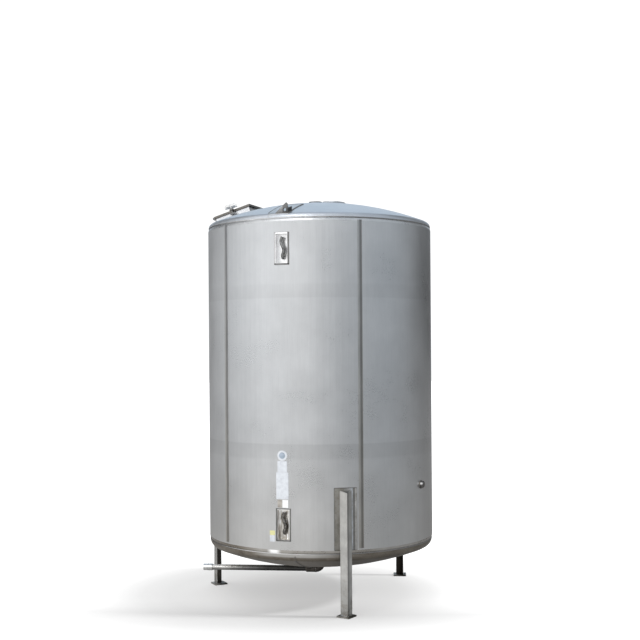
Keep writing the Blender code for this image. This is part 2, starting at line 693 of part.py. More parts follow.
def build_lid(lid_axis):
    """The pressed lid with its turned-down edge, hinge lugs and clamp ears."""
    centre = -HINGE_OUT
    half_u = MANWAY_HALF_LENGTH + LID_OVERHANG
    half_v = MANWAY_HALF_WIDTH + LID_OVERHANG
    underside = GASKET_THICKNESS + 2 * GAP - HINGE_UP
    top = underside + LID_PLATE
    edge = top - LID_SKIRT_DEPTH
    lid = add_object("manway_lid", box_mesh(
        "manway_lid", (centre - half_u, -half_v, edge), (centre + half_u, half_v, top)), lid_axis)
    hollow = add_object("lid_hollow_cutter", box_mesh("lid_hollow_cutter", (
        centre - half_u + LID_SKIRT, -half_v + LID_SKIRT, edge - 0.02), (
        centre + half_u - LID_SKIRT, half_v - LID_SKIRT, underside)), lid_axis)
    cut(lid, hollow)
    for side, sign in HINGE_STATIONS.items():
        middle = sign * HINGE_LUG_CENTRE
        half = HINGE_EAR_THICKNESS / 2
        name = f"lid_lug_{side}_guide"
        outline = [(centre + half_u - 0.001, edge + 0.002), (centre + half_u - 0.001, top)]
        outline += eye_points(65, -115)
        lug = add_object(name, prism_mesh(name, outline, -half, half), lid_axis)
        lug.rotation_euler = (math.radians(90), 0, 0)
        lug.location = (0, middle, 0)
        weld(lid, lug)
        name = f"lid_ear_{side}_guide"
        ear_centre = centre + CLAMP_SHIFT
        low = (ear_centre - CLAMP_HALF_WIDTH, sign * (half_v - 0.001), top - CLAMP_EAR_THICKNESS)
        high = (ear_centre + CLAMP_HALF_WIDTH, sign * CLAMP_EAR_REACH, top)
        ordered_low = tuple(min(a, b) for a, b in zip(low, high))
        ordered_high = tuple(max(a, b) for a, b in zip(low, high))
        ear = add_object(name, box_mesh(name, ordered_low, ordered_high), lid_axis)
        weld(lid, ear)
        name = f"lid_ear_hole_{side}_cutter"
        hole = disc(name, CLAMP_SCREW_RADIUS + 2 * GAP, -0.03, 0.03, 20,
                    (ear_centre, sign * CLAMP_OFFSET), lid_axis)
        cut(lid, hole)
    bore = disc("lid_lug_bore_cutter", HINGE_HOLE_RADIUS, -0.2, 0.2, 20, parent=lid_axis)
    bore.rotation_euler = (math.radians(90), 0, 0)
    cut(lid, bore)
    add_material(lid, STEEL_DULL, 0.35, 1.0)

    half_u = MANWAY_HALF_LENGTH + GASKET_MARGIN
    half_v = MANWAY_HALF_WIDTH + GASKET_MARGIN
    low = GAP - HINGE_UP
    gasket = frame_box("lid_gasket", half_u, half_v, GASKET_WIDTH,
                       low, low + GASKET_THICKNESS, lid_axis, centre)
    add_material(gasket, RUBBER_GREY, 0.8, 0.0)


def eye_points(start, end):
    """The round of a hinge eye about the axis, from one angle to another in degrees."""
    points = []
    for step in range(HINGE_EYE_STEPS + 1):
        angle = math.radians(start + (end - start) * step / HINGE_EYE_STEPS)
        points.append((HINGE_EYE_RADIUS * math.cos(angle), HINGE_EYE_RADIUS * math.sin(angle)))
    return points


def build_hinge(base):
    """An ear with its pin at each end of the hinge side, welded to the neck."""
    for side, sign in HINGE_STATIONS.items():
        name = f"hinge_bracket_{side}"
        root_x = MANWAY_HALF_LENGTH + GAP - HINGE_OUT
        half = HINGE_EAR_THICKNESS / 2
        outline = [(root_x, HINGE_ARM_BOTTOM), (root_x, HINGE_ARM_TOP)]
        outline += [(HINGE_ARM_TIP, HINGE_ARM_TOP)] + eye_points(150, -60)
        ear = add_object(name, prism_mesh(name, outline, -half, half), base)
        ear.rotation_euler = (math.radians(90), 0, 0)
        ear.location = (HINGE_OUT, sign * HINGE_EAR_CENTRE, HINGE_UP)
        name = f"hinge_pin_{side}_guide"
        inner = HINGE_LUG_CENTRE - half - HINGE_PIN_STAND
        outer = HINGE_EAR_CENTRE + half + HINGE_PIN_STAND
        pin = disc(name, HINGE_PIN_RADIUS, -outer, -inner, 20, parent=base)
        pin.rotation_euler = (math.radians(90), 0, 0)
        if sign < 0:
            pin.rotation_euler = (math.radians(-90), 0, 0)
        pin.location = (HINGE_OUT, 0, HINGE_UP)
        weld(ear, pin)
        add_material(ear, STEEL_DULL, 0.4, 1.0)


def knob_outline():
    """The round lobes of a star knob."""
    points = []
    for step in range(KNOB_STEPS):
        angle = math.tau * step / KNOB_STEPS
        radius = KNOB_RADIUS * (1 - KNOB_LOBE_SHARE * (1 - math.cos(KNOB_LOBES * angle)))
        points.append((radius * math.cos(angle), radius * math.sin(angle)))
    return points


def build_clamps(base, lid_axis):
    """A captive screw with a star knob in each lid ear, over a lug on the neck."""
    for side, sign in HINGE_STATIONS.items():
        name = f"clamp_lug_{side}"
        root = sign * (MANWAY_HALF_WIDTH + GAP)
        reach = sign * CLAMP_EAR_REACH
        low = (CLAMP_SHIFT - CLAMP_HALF_WIDTH, min(root, reach), CLAMP_LUG_BOTTOM)
        high = (CLAMP_SHIFT + CLAMP_HALF_WIDTH, max(root, reach), CLAMP_LUG_TOP)
        lug = add_object(name, box_mesh(name, low, high), base)
        name = f"clamp_lug_hole_{side}_cutter"
        hole = disc(name, CLAMP_LUG_HOLE_RADIUS, -0.05, 0.0, 20,
                    (CLAMP_SHIFT, sign * CLAMP_OFFSET), base)
        cut(lug, hole)
        add_material(lug, STEEL_DULL, 0.4, 1.0)

        name = f"clamp_screw_{side}"
        ear_top = GASKET_THICKNESS + 2 * GAP + LID_PLATE
        collar = ear_top + GAP
        tip = (KNOB_BOTTOM + KNOB_TOP) / 2
        profile = [(0, CLAMP_SCREW_BOTTOM), (CLAMP_SCREW_RADIUS, CLAMP_SCREW_BOTTOM),
                   (CLAMP_SCREW_RADIUS, collar), (CLAMP_COLLAR_RADIUS, collar),
                   (CLAMP_COLLAR_RADIUS, tip), (0, tip)]
        screw = add_object(name, turned_mesh(name, profile, 20), lid_axis)
        screw.location = (CLAMP_SHIFT - HINGE_OUT, sign * CLAMP_OFFSET, -HINGE_UP)
        name = f"knob_{side}_guide"
        knob = add_object(name, prism_mesh(name, knob_outline(), KNOB_BOTTOM, KNOB_TOP), lid_axis)
        knob.location = screw.location
        weld(screw, knob)
        add_material(screw, STEEL_BRIGHT, 0.25, 1.0)


def build():
    clear_scene()
    axis = add_object("tank_axis", None)
    axis.location = (AXIS_X, AXIS_Y, 0)
    build_heads()
    panels = build_jacket()
    build_recesses(panels[0])
    build_legs()
    build_boss()
    build_drain()
    build_lifting_lugs()
    build_vent()
    build_manway()


build()
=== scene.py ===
import math

import bmesh
import bpy
from mathutils import Matrix, Vector


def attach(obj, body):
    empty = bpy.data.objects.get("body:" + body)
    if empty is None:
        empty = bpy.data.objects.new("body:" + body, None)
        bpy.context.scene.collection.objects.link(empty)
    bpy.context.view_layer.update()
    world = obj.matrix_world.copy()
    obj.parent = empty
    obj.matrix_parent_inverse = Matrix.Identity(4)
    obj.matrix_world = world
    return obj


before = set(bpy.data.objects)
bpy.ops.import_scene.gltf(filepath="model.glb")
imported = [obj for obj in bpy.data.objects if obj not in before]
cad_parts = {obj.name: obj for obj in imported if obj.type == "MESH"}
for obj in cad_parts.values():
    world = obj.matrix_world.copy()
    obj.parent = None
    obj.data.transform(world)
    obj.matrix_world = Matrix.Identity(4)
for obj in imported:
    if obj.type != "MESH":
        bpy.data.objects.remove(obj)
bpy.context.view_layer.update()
scene = bpy.context.scene

# Camera
# The viewpoint: eye height, a little over seven metres in front of the tank, held level
# and a third of a degree off true. The lens is slid up so that the uprights stay upright.
AXIS_X = 0.0304
AXIS_Y = 0.0284
VIEW_DISTANCE = 7.84
EYE_HEIGHT = 1.71
VIEW_ROLL = 0.38
FOCAL_PIXELS = 1083.0
FRAME_PIXELS = 640.0
AXIS_PIXEL = 320.1
HORIZON_PIXEL = 354.3

lens = bpy.data.cameras.new("studio_camera")
lens.sensor_width = 36.0
lens.lens = lens.sensor_width * FOCAL_PIXELS / FRAME_PIXELS
lens.shift_x = (FRAME_PIXELS / 2 - AXIS_PIXEL) / FRAME_PIXELS
lens.shift_y = (HORIZON_PIXEL - FRAME_PIXELS / 2) / FRAME_PIXELS
lens.clip_end = 200.0
camera = bpy.data.objects.new("studio_camera", lens)
camera.location = (AXIS_X, AXIS_Y - VIEW_DISTANCE, EYE_HEIGHT)
camera.rotation_euler = (math.radians(90), math.radians(VIEW_ROLL), 0)
scene.collection.objects.link(camera)
scene.camera = camera

# Studio
# Soft light from all round, as on an open yard: bright at the front left, dim on the right
# and behind, bluish over the dome. Only mirror rays see the yard; the rest see plain white.
BRIGHTEST = 2.0
COOL_SHIFT = 0.07
WHITE = (1.0, 1.0, 1.0, 1.0)
BLACK = (0.0, 0.0, 0.0, 1.0)


def add_node(tree, kind, inputs=None, **settings):
    """A node with its settings; an input takes a value, or a socket to be linked from."""
    made = tree.nodes.new(kind)
    for name, value in settings.items():
        setattr(made, name, value)
    for key, value in (inputs or {}).items():
        if isinstance(value, bpy.types.NodeSocket):
            tree.links.new(value, made.inputs[key])
        else:
            made.inputs[key].default_value = value
    return made


def add_maths(tree, operation, *values):
    return add_node(tree, "ShaderNodeMath", dict(enumerate(values)), operation=operation).outputs[0]


def add_noise(tree, place, scale, detail, roughness=0.5):
    return add_node(tree, "ShaderNodeTexNoise", {
        "Vector": place, "Scale": scale, "Detail": detail, "Roughness": roughness}).outputs["Fac"]


def add_share(tree, value, low, high, first=0.0, last=1.0, soft=False):
    """Runs from first to last while a value goes from low to high; soft eases both ends."""
    return add_node(tree, "ShaderNodeMapRange", {
        "Value": value, "From Min": low, "From Max": high, "To Min": first, "To Max": last},
        interpolation_type="SMOOTHSTEP" if soft else "LINEAR").outputs[0]


def mix_colours(tree, factor, below, above, blend="MIX"):
    return add_node(tree, "ShaderNodeMix", {
        "Factor": factor, "A": below, "B": above}, data_type="RGBA", blend_type=blend).outputs[2]


def rgba(shade):
    """A colour, or a grey given as one number, as a colour socket takes it."""
    return (*(shade if isinstance(shade, tuple) else (shade,) * 3), 1.0)


def add_ramp(tree, source, stops, smooth=False):
    """A colour ramp read by a 0 to 1 source; a stop is a place and a grey or a colour."""
    made = add_node(tree, "ShaderNodeValToRGB", {0: source})
    made.color_ramp.interpolation = "EASE" if smooth else "LINEAR"
    points = made.color_ramp.elements
    while len(points) > 1:
        points.remove(points[0])
    for number, (place, shade) in enumerate(stops):
        point = points[0] if number == 0 else points.new(place)
        point.position = place
        point.color = rgba(shade)
    return made.outputs["Color"]


def bearing(tree, x, y):
    """The angle from the front, towards the right."""
    return add_maths(tree, "ARCTAN2", x, add_maths(tree, "MULTIPLY", y, -1.0))


def light_round(tree, x, y, stops):
    """Light that changes with the bearing; a stop is degrees from the front, brightness, coolness."""
    share = add_maths(tree, "MULTIPLY_ADD", bearing(tree, x, y), 1 / math.tau, 0.5)
    return add_ramp(tree, share, [
        ((angle + 180) / 360,
         tuple(value / BRIGHTEST * (1 + side * COOL_SHIFT * cool) for side in (-1, 0, 1)))
        for angle, value, cool in stops])


world = bpy.data.worlds.new("studio_light")
scene.world = world
world.use_nodes = True
world.cycles.sampling_method = "NONE"
tree = world.node_tree
tree.nodes.clear()
gaze = add_node(tree, "ShaderNodeTexCoord").outputs["Generated"]
way = add_node(tree, "ShaderNodeSeparateXYZ", {0: gaze}).outputs
HORIZON_LIGHT = ((-180, 0.78, 1.8), (-168, 0.40, 0.8), (-150, 0.30, 0.0), (-128, 0.60, 0.2),
                 (-92, 1.08, 0.3), (-57, 1.28, 0.2), (-19, 0.93, 0.1), (0, 0.84, 0.3), (23, 0.61, 0.7),
                 (54, 0.48, 1.2), (71, 0.49, 1.2), (91, 0.42, 1.0), (108, 0.26, 0.6), (128, 0.14, 0.4),
                 (158, 0.12, 0.3), (168, 0.40, 0.8), (180, 0.78, 1.8))
SKY_LIGHT = ((-180, 0.84, 2.0), (-162, 0.76, 1.8), (-146, 0.30, 0.8), (-125, 0.28, 0.2), (-104, 0.42, 0.2),
             (-86, 0.88, 0.1), (-62, 1.22, 0.1), (-16, 1.22, 0.1), (-2, 1.06, 0.2), (10, 0.88, 0.4),
             (30, 0.72, 0.7), (54, 0.68, 1.0), (91, 0.58, 1.0), (108, 0.40, 0.8), (128, 0.22, 0.4),
             (146, 0.26, 0.8), (162, 0.76, 1.8), (180, 0.84, 2.0))
OVERHEAD_LIGHT = (0.30, 0.33, 0.37, 1.0)
BRIGHT_PATCH_WAY = Vector((-0.346, -0.742, 0.574)).normalized()
BRIGHT_PATCH = 1.9
PLAIN_LIGHT = 1.12
sky = mix_colours(tree, add_share(tree, way["Z"], 0.09, 0.22, soft=True),
                  light_round(tree, way["X"], way["Y"], HORIZON_LIGHT),
                  light_round(tree, way["X"], way["Y"], SKY_LIGHT))
sky = mix_colours(tree, add_share(tree, way["Z"], 0.70, 0.98, soft=True), sky, OVERHEAD_LIGHT)
patch_dot = add_node(tree, "ShaderNodeVectorMath", {
    0: gaze, 1: tuple(BRIGHT_PATCH_WAY)}, operation="DOT_PRODUCT").outputs["Value"]
patch_light = add_share(tree, patch_dot, 0.970, 0.992, 0.0, BRIGHT_PATCH, soft=True)
sky = mix_colours(tree, 1.0, sky, patch_light, "ADD")
ray = add_node(tree, "ShaderNodeLightPath").outputs
plain_share = add_maths(tree, "MAXIMUM", ray["Is Camera Ray"], ray["Is Diffuse Ray"])
yard_light = add_node(tree, "ShaderNodeBackground", {"Color": sky, "Strength": BRIGHTEST}).outputs[0]
plain_light = add_node(tree, "ShaderNodeBackground", {"Color": WHITE, "Strength": PLAIN_LIGHT}).outputs[0]
seen = add_node(tree, "ShaderNodeMixShader", {0: plain_share, 1: yard_light, 2: plain_light}).outputs[0]
add_node(tree, "ShaderNodeOutputWorld", {0: seen})

lamp = bpy.data.lights.new("right_lamp", "SUN")
lamp.energy = 2.0
lamp.angle = math.radians(7)
lamp_object = bpy.data.objects.new("right_lamp", lamp)
lamp_object.rotation_euler = (math.radians(4), math.radians(58), 0)
lamp_object.visible_glossy = False
scene.collection.objects.link(lamp_object)

scene.view_settings.view_transform = "Standard"
scene.view_settings.look = "None"


def new_finish(name):
    """A material, its tree and the place of each point that it covers."""
    finish = bpy.data.materials.new(name)
    finish.use_nodes = True
    return finish, finish.node_tree, add_node(finish.node_tree, "ShaderNodeTexCoord").outputs["Object"]


def from_axis(tree, place):
    """How far a place lies to the right of the tank's axis, and how far behind it."""
    split = add_node(tree, "ShaderNodeSeparateXYZ", {0: place}).outputs
    return add_maths(tree, "SUBTRACT", split["X"], AXIS_X), add_maths(tree, "SUBTRACT", split["Y"], AXIS_Y)


def flat_length(tree, x, y):
    return add_maths(tree, "SQRT", add_maths(tree, "MULTIPLY_ADD", x, x, add_maths(tree, "MULTIPLY", y, y)))


def kept_mesh(name, bm):
    mesh = bpy.data.meshes.new(name)
    bm.to_mesh(mesh)
    bm.free()
    return mesh


FLOOR_REACH = 60.0
FLOOR_DROP = 0.0005
HAZE_SHIFT = 0.25
AHEAD_SCALE = 0.667
FLOOR_LIGHT = ((-180, 0.30, 0.0), (-150, 0.36, 0.0), (-128, 0.46, 0.0), (-92, 0.61, 0.0), (-57, 0.84, 0.0),
               (-19, 0.83, 0.0), (0, 0.65, 0.0), (23, 0.51, 0.1), (54, 0.43, 0.3), (71, 0.43, 0.3),
               (91, 0.40, 0.2), (128, 0.29, 0.0), (180, 0.30, 0.0))
bm = bmesh.new()
bmesh.ops.create_circle(bm, cap_ends=True, segments=64, radius=FLOOR_REACH)
studio_floor = bpy.data.objects.new("studio_floor", kept_mesh("studio_floor", bm))
studio_floor.location = (0, 0, -FLOOR_DROP)
scene.collection.objects.link(studio_floor)
floor_paint, tree, place = new_finish("floor_paint")
pale = add_ramp(tree, add_noise(tree, place, 1.3, 3.0), [(0.3, 0.495), (0.7, 0.510)])
away_x, away_y = from_axis(tree, place)
# Mirror rays see the floor glow with the yard's light, darkened under the tank by painted shade.
reach = add_maths(tree, "MULTIPLY", flat_length(tree, away_x, away_y), 0.5)
under_shade = add_ramp(tree, reach, [(0.0, 0.35), (0.40, 0.55), (0.60, 1.0), (1.0, 1.0)])
yard = mix_colours(tree, 1.0, light_round(tree, away_x, away_y, FLOOR_LIGHT), under_shade, "MULTIPLY")
# The camera sees a painted glow on the floor (haze), weakest under the tank and just in front of it, which
# paints the soft shadow there and fades it to white further out.
far = flat_length(tree, add_maths(tree, "ADD", away_x, HAZE_SHIFT), away_y)
haze = add_ramp(tree, add_maths(tree, "MULTIPLY", far, 0.5), [
    (0.0, 0.205), (0.25, 0.20), (0.42, 0.18), (0.52, 0.20), (0.62, 0.26), (0.80, 0.38), (1.0, 0.45)])
painted_front_shade = add_ramp(tree, add_maths(tree, "MULTIPLY_ADD", away_y, AHEAD_SCALE, 1.0), [
    (0.0, 1.0), (0.20, 0.70), (0.35, 0.55), (0.50, 0.50), (0.70, 0.90), (0.80, 1.0)])
haze = mix_colours(tree, 1.0, haze, painted_front_shade, "MULTIPLY")
mirror_ray = add_node(tree, "ShaderNodeLightPath").outputs["Is Glossy Ray"]
shader = tree.nodes["Principled BSDF"]
tree.links.new(mix_colours(tree, mirror_ray, pale, BLACK), shader.inputs["Base Color"])
tree.links.new(mix_colours(tree, mirror_ray, haze, yard), shader.inputs["Emission Color"])
shader.inputs["Emission Strength"].default_value = BRIGHTEST
shader.inputs["Roughness"].default_value = 0.9
shader.inputs["Specular IOR Level"].default_value = 0.0
studio_floor.data.materials.append(floor_paint)

# Dished ends
# The spun top and bottom of the tank: flat crown, tight knuckle, stainless sheet with a
# dull rolled skin. The bottom is made of two sheets, butt welded on one line across it.
UPPER_RIM_Z = 2.612
LOWER_RIM_Z = 0.400
HEAD_EDGE = 0.797
UPPER_RISE = 0.177
UPPER_KNUCKLE = 0.030
LOWER_RISE = 0.190
LOWER_KNUCKLE = 0.050
WALL_RADIUS = 0.800


def node_group(name, kind, takes, gives):
    """A node group with its named inputs and outputs, and the sockets that its inputs feed."""
    group = bpy.data.node_groups.new(name, kind)
    for way, sockets in (("INPUT", takes), ("OUTPUT", gives)):
        for label, sort, *value in sockets:
            socket = group.interface.new_socket(label, in_out=way, socket_type="NodeSocket" + sort)
            if value:
                socket.default_value = value[0]
    return group, group.nodes.new("NodeGroupInput").outputs


def stretch_place(tree, place, stretch):
    return add_node(tree, "ShaderNodeVectorMath", {0: place, 1: stretch}, operation="MULTIPLY").outputs[0]


def steel_grain_group():
    """Mill grain, broad patches and fine pits of a steel surface, each from 0 to 1."""
    group, given = node_group("steel_grain", "ShaderNodeTree", [
        ("Place", "Vector"), ("Patch Scale", "Float", 4.0), ("Grain Scale", "Float", 300.0),
        ("Speck Scale", "Float", 90.0), ("Grain Stretch", "Vector")],
        [("Tone", "Float"), ("Haze", "Float"), ("Height", "Float")])
    patches = add_noise(group, given["Place"], given["Patch Scale"], 4.0, 0.6)
    drawn = stretch_place(group, given["Place"], given["Grain Stretch"])
    grain = add_noise(group, drawn, given["Grain Scale"], 2.0)
    specks = add_noise(group, given["Place"], given["Speck Scale"], 3.0, 0.7)
    fleck = add_share(group, specks, 0.58, 0.75, 0.0, -0.04)
    tone = add_maths(group, "MULTIPLY_ADD", grain, 0.30, add_maths(group, "MULTIPLY", patches, 0.75))
    haze = add_maths(group, "MULTIPLY_ADD", specks, 0.35, add_maths(group, "MULTIPLY", patches, 0.65))
    height = add_maths(group, "MULTIPLY_ADD", grain, 0.7, add_maths(group, "MULTIPLY", specks, 0.3))
    add_node(group, "NodeGroupOutput", {
        "Tone": add_maths(group, "ADD", tone, fleck), "Haze": haze, "Height": height})
    return group


STEEL_GRAIN = steel_grain_group()


def steel_finish(name, dark, light, dull, glossy, patch, grain, speck=90.0,
                 stretch=(1.0, 1.0, 1.0), depth=0.00002):
    """Bare steel: colour runs from dark to light and roughness from dull to glossy with the grain.

    Gives the sockets of place, colour, roughness and height, with the material and its tree.
    Later nodes may build on them before finish_surface joins them to the shader.
    """
    finish, tree, place = new_finish(name)
    surface = add_node(tree, "ShaderNodeGroup", node_tree=STEEL_GRAIN)
    tree.links.new(place, surface.inputs["Place"])
    for label, value in (("Patch Scale", patch), ("Grain Scale", grain),
                         ("Speck Scale", speck), ("Grain Stretch", stretch)):
        surface.inputs[label].default_value = value
    return {"material": finish, "tree": tree, "place": place,
            "colour": add_ramp(tree, surface.outputs["Tone"], [(0.33, dark), (0.70, light)]),
            "rough": add_share(tree, surface.outputs["Haze"], 0.35, 0.65, glossy, dull),
            "height": surface.outputs["Height"], "depth": depth}


def finish_surface(parts, metallic=1.0):
    """Joins the colour, roughness and height to the shader and gives the material."""
    tree = parts["tree"]
    shader = tree.nodes["Principled BSDF"]
    if isinstance(metallic, bpy.types.NodeSocket):
        tree.links.new(metallic, shader.inputs["Metallic"])
    else:
        shader.inputs["Metallic"].default_value = metallic
    tree.links.new(parts["colour"], shader.inputs["Base Color"])
    tree.links.new(parts["rough"], shader.inputs["Roughness"])
    bump = add_node(tree, "ShaderNodeBump", {"Height": parts["height"], "Distance": parts["depth"]})
    if "swell" in parts:
        broad = add_node(tree, "ShaderNodeBump", {"Height": parts["swell"], "Distance": parts["swell_depth"]})
        tree.links.new(broad.outputs[0], bump.inputs["Normal"])
    tree.links.new(bump.outputs[0], shader.inputs["Normal"])
    return parts["material"]


def shade_by(parts, mask, factor=1.0):
    """Multiplies the colour by a grey or coloured mask."""
    parts["colour"] = mix_colours(parts["tree"], factor, parts["colour"], mask, "MULTIPLY")


def shade_along(parts, source, stops, factor=1.0):
    """Multiplies the colour by a ramp that a 0 to 1 source reads."""
    shade_by(parts, add_ramp(parts["tree"], source, stops), factor)


def stain_by(parts, mask, colour):
    """Lays a stain colour over the surface where the mask is 1."""
    parts["colour"] = mix_colours(parts["tree"], mask, parts["colour"], rgba(colour))


def blotch(parts, scale, detail, roughness, edges, strength, colour):
    """Stains the steel in blotches, where a cloudy pattern passes from one level to another."""
    tree = parts["tree"]
    cloud = add_noise(tree, parts["place"], scale, detail, roughness)
    stain_by(parts, add_maths(tree, "MULTIPLY", add_share(tree, cloud, *edges), strength), colour)


def place_part(parts, axis):
    return add_node(parts["tree"], "ShaderNodeSeparateXYZ", {0: parts["place"]}).outputs[axis]


def height_share(parts, low, high):
    """0 at one height above the ground and 1 at another."""
    return add_share(parts["tree"], place_part(parts, "Z"), low, high)


def axis_distance(parts):
    """The distance from the tank's axis."""
    tree = parts["tree"]
    offset = add_node(tree, "ShaderNodeVectorMath", {
        0: parts["place"], 1: (AXIS_X, AXIS_Y, 0.0)}, operation="SUBTRACT").outputs[0]
    flat = stretch_place(tree, offset, (1.0, 1.0, 0.0))
    return add_node(tree, "ShaderNodeVectorMath", {0: flat}, operation="LENGTH").outputs["Value"]


def along_wall(parts, azimuth, spread, radius=WALL_RADIUS):
    """Metres along the wall, to the right, from the nearest of the upright lines spread degrees apart."""
    tree = parts["tree"]
    way_round = bearing(tree, *from_axis(tree, parts["place"]))
    angle = add_maths(tree, "SUBTRACT", way_round, math.radians(azimuth))
    near = add_maths(tree, "WRAP", angle, math.radians(spread) / 2, -math.radians(spread) / 2)
    return add_maths(tree, "MULTIPLY", near, radius)


def across_line(parts, azimuth, spread, half_width):
    """0 at the left edge and 1 at the right edge of a piece that lies over such a line."""
    return add_maths(parts["tree"], "MULTIPLY_ADD", along_wall(parts, azimuth, spread), 0.5 / half_width, 0.5)


def dress(material, *names):
    """Gives carried-over solids their finish."""
    for name in names:
        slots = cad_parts[name].data.materials
        slots.clear()
        slots.append(material)


RING_WAVES = 520.0
dome = steel_finish("dome_steel", (0.50, 0.53, 0.57), (0.68, 0.71, 0.75), 0.42, 0.28, patch=3.0, grain=260.0)
tree = dome["tree"]
rings = add_maths(tree, "SINE", add_maths(tree, "MULTIPLY", axis_distance(dome), RING_WAVES))
dome["height"] = add_maths(tree, "MULTIPLY_ADD", rings, 0.25, dome["height"])
dress(finish_surface(dome), "top_head")

PAINTED_SHEEN_HEIGHTS = (0.378, 0.389)
# The bottom is dark brown from blotchy dirt and painted shade under the tank.
under = steel_finish("underside_steel", (0.13, 0.112, 0.09), (0.30, 0.27, 0.23), 0.50, 0.34,
                     patch=5.0, grain=200.0)
tree = under["tree"]
blotch(under, 14.0, 6.0, 0.7, (0.50, 0.72), 0.6, (0.09, 0.07, 0.05))
# A painted reflection: a paler band round the front of the knuckle.
painted_sheen_side = add_ramp(tree, add_maths(tree, "ADD", along_wall(under, 0.0, 360.0), 0.5), [
    (0.0, 0.0), (0.12, 0.8), (0.44, 0.9), (0.62, 0.25), (0.80, 0.0)])
stain_by(under, add_maths(tree, "MULTIPLY", height_share(under, *PAINTED_SHEEN_HEIGHTS), painted_sheen_side),
         (0.50, 0.49, 0.47))
dress(finish_surface(under), "bottom_head")


def end_height(radius, rise, knuckle):
    """How far an end stands out from its rim at a distance from the axis."""
    middle = HEAD_EDGE - knuckle
    crown = (rise ** 2 + middle ** 2 - knuckle ** 2) / (2 * (rise - knuckle))
    if radius < middle * crown / (crown - knuckle):
        return rise - crown + math.sqrt(crown ** 2 - radius ** 2)
    return math.sqrt(max(0.0, knuckle ** 2 - (min(radius, HEAD_EDGE) - middle) ** 2))


def dome_z(radius):
    """Height of the top end's outer face at a distance from the axis."""
    return UPPER_RIM_Z + end_height(radius, UPPER_RISE, UPPER_KNUCKLE)


def wall_place(azimuth):
    """From a piece's own frame (x outward, y along the wall, z up) to the scene."""
    return (Matrix.Translation((AXIS_X, AXIS_Y, 0))
            @ Matrix.Rotation(math.radians(azimuth - 90), 4, "Z"))


def grown_mesh(source, group, **values):
    """Runs a geometry tree on a source mesh and keeps the result as a plain mesh."""
    carrier = bpy.data.objects.new(source.name + "_source", source)
    scene.collection.objects.link(carrier)
    step = carrier.modifiers.new("grow", "NODES")
    step.node_group = group
    sockets = {item.name: item.identifier for item in group.interface.items_tree if item.in_out == "INPUT"}
    for name, value in values.items():
        step[sockets[name.replace("_", " ").title()]] = value
    result = bpy.data.meshes.new_from_object(
        carrier.evaluated_get(bpy.context.evaluated_depsgraph_get()))
    bpy.data.objects.remove(carrier)
    return result


def add_piece(name, mesh):
    """A dressed piece that the tank carries."""
    piece = bpy.data.objects.new(name, mesh)
    scene.collection.objects.link(piece)
    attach(piece, "tank")


def give_coated(group, geometry, metal):
    """Ends a geometry tree with its result in one material."""
    coated = add_node(group, "GeometryNodeSetMaterial", {"Geometry": geometry, "Material": metal}).outputs[0]
    add_node(group, "NodeGroupOutput", {"Geometry": coated})
    return group


def weld_bead_tree():
    """A ripple-topped bead of weld along each line of the source mesh."""
    group, given = node_group("weld_bead", "GeometryNodeTree", [
        ("Geometry", "Geometry"), ("Bead Radius", "Float", 0.003), ("Ripple Length", "Float", 0.006),
        ("Ripple Height", "Float", 0.0005), ("Step", "Float", 0.002), ("Seed", "Float", 3.0),
        ("Bead Metal", "Material")], [("Geometry", "Geometry")])
    line = add_node(group, "GeometryNodeMeshToCurve", {"Mesh": given["Geometry"]}).outputs[0]
    even = add_node(group, "GeometryNodeResampleCurve", {
        "Curve": line, "Length": given["Step"]}, mode="LENGTH").outputs[0]
    kept = group.nodes.new("GeometryNodeCaptureAttribute")
    kept.capture_items.new("FLOAT", "Run")
    group.links.new(even, kept.inputs["Geometry"])
    group.links.new(add_node(group, "GeometryNodeSplineParameter").outputs["Length"], kept.inputs["Run"])
    ring = add_node(group, "GeometryNodeCurvePrimitiveCircle", {
        "Resolution": 8, "Radius": given["Bead Radius"]}).outputs[0]
    tube = add_node(group, "GeometryNodeCurveToMesh", {
        "Curve": kept.outputs["Geometry"], "Profile Curve": ring, "Fill Caps": True}).outputs[0]
    run_share = add_maths(group, "DIVIDE", kept.outputs["Run"], given["Ripple Length"])
    wave = add_maths(group, "SINE", add_maths(group, "MULTIPLY", math.tau, run_share))
    uneven = add_node(group, "ShaderNodeTexNoise", {
        "Scale": 70.0, "Detail": 1.0, "W": given["Seed"]}, noise_dimensions="4D").outputs["Fac"]
    rough_wave = add_maths(group, "ADD", wave, add_maths(group, "MULTIPLY_ADD", uneven, 4.0, -2.0))
    push = add_node(group, "ShaderNodeVectorMath", {
        0: add_node(group, "GeometryNodeInputNormal").outputs["Normal"],
        3: add_maths(group, "MULTIPLY", rough_wave, given["Ripple Height"])}, operation="SCALE")
    moved = add_node(group, "GeometryNodeSetPosition", {
        "Geometry": tube, "Offset": push.outputs[0]}).outputs[0]
    soft = add_node(group, "GeometryNodeSetShadeSmooth", {"Geometry": moved}).outputs[0]
    real = add_node(group, "GeometryNodeRealizeInstances", {"Geometry": soft}).outputs[0]
    return give_coated(group, real, given["Bead Metal"])


WELD_BEAD = weld_bead_tree()


def weld_metal(name, dark, light):
    """Weld metal: bright ripple tops, straw and blue heat tint along the toes."""
    bead = steel_finish(name, dark, light, 0.50, 0.26, patch=22.0, grain=500.0, speck=260.0, depth=0.0001)
    shade_along(bead, add_noise(bead["tree"], bead["place"], 38.0, 2.0), [
        (0.35, (0.80, 0.72, 0.58)), (0.5, 1.0), (0.65, (0.66, 0.72, 0.86))], 0.6)
    return finish_surface(bead)


WELD_BRIGHT = weld_metal("weld_bright", 0.40, 0.66)
WELD_DARK = weld_metal("weld_dark", (0.15, 0.14, 0.13), (0.34, 0.32, 0.30))


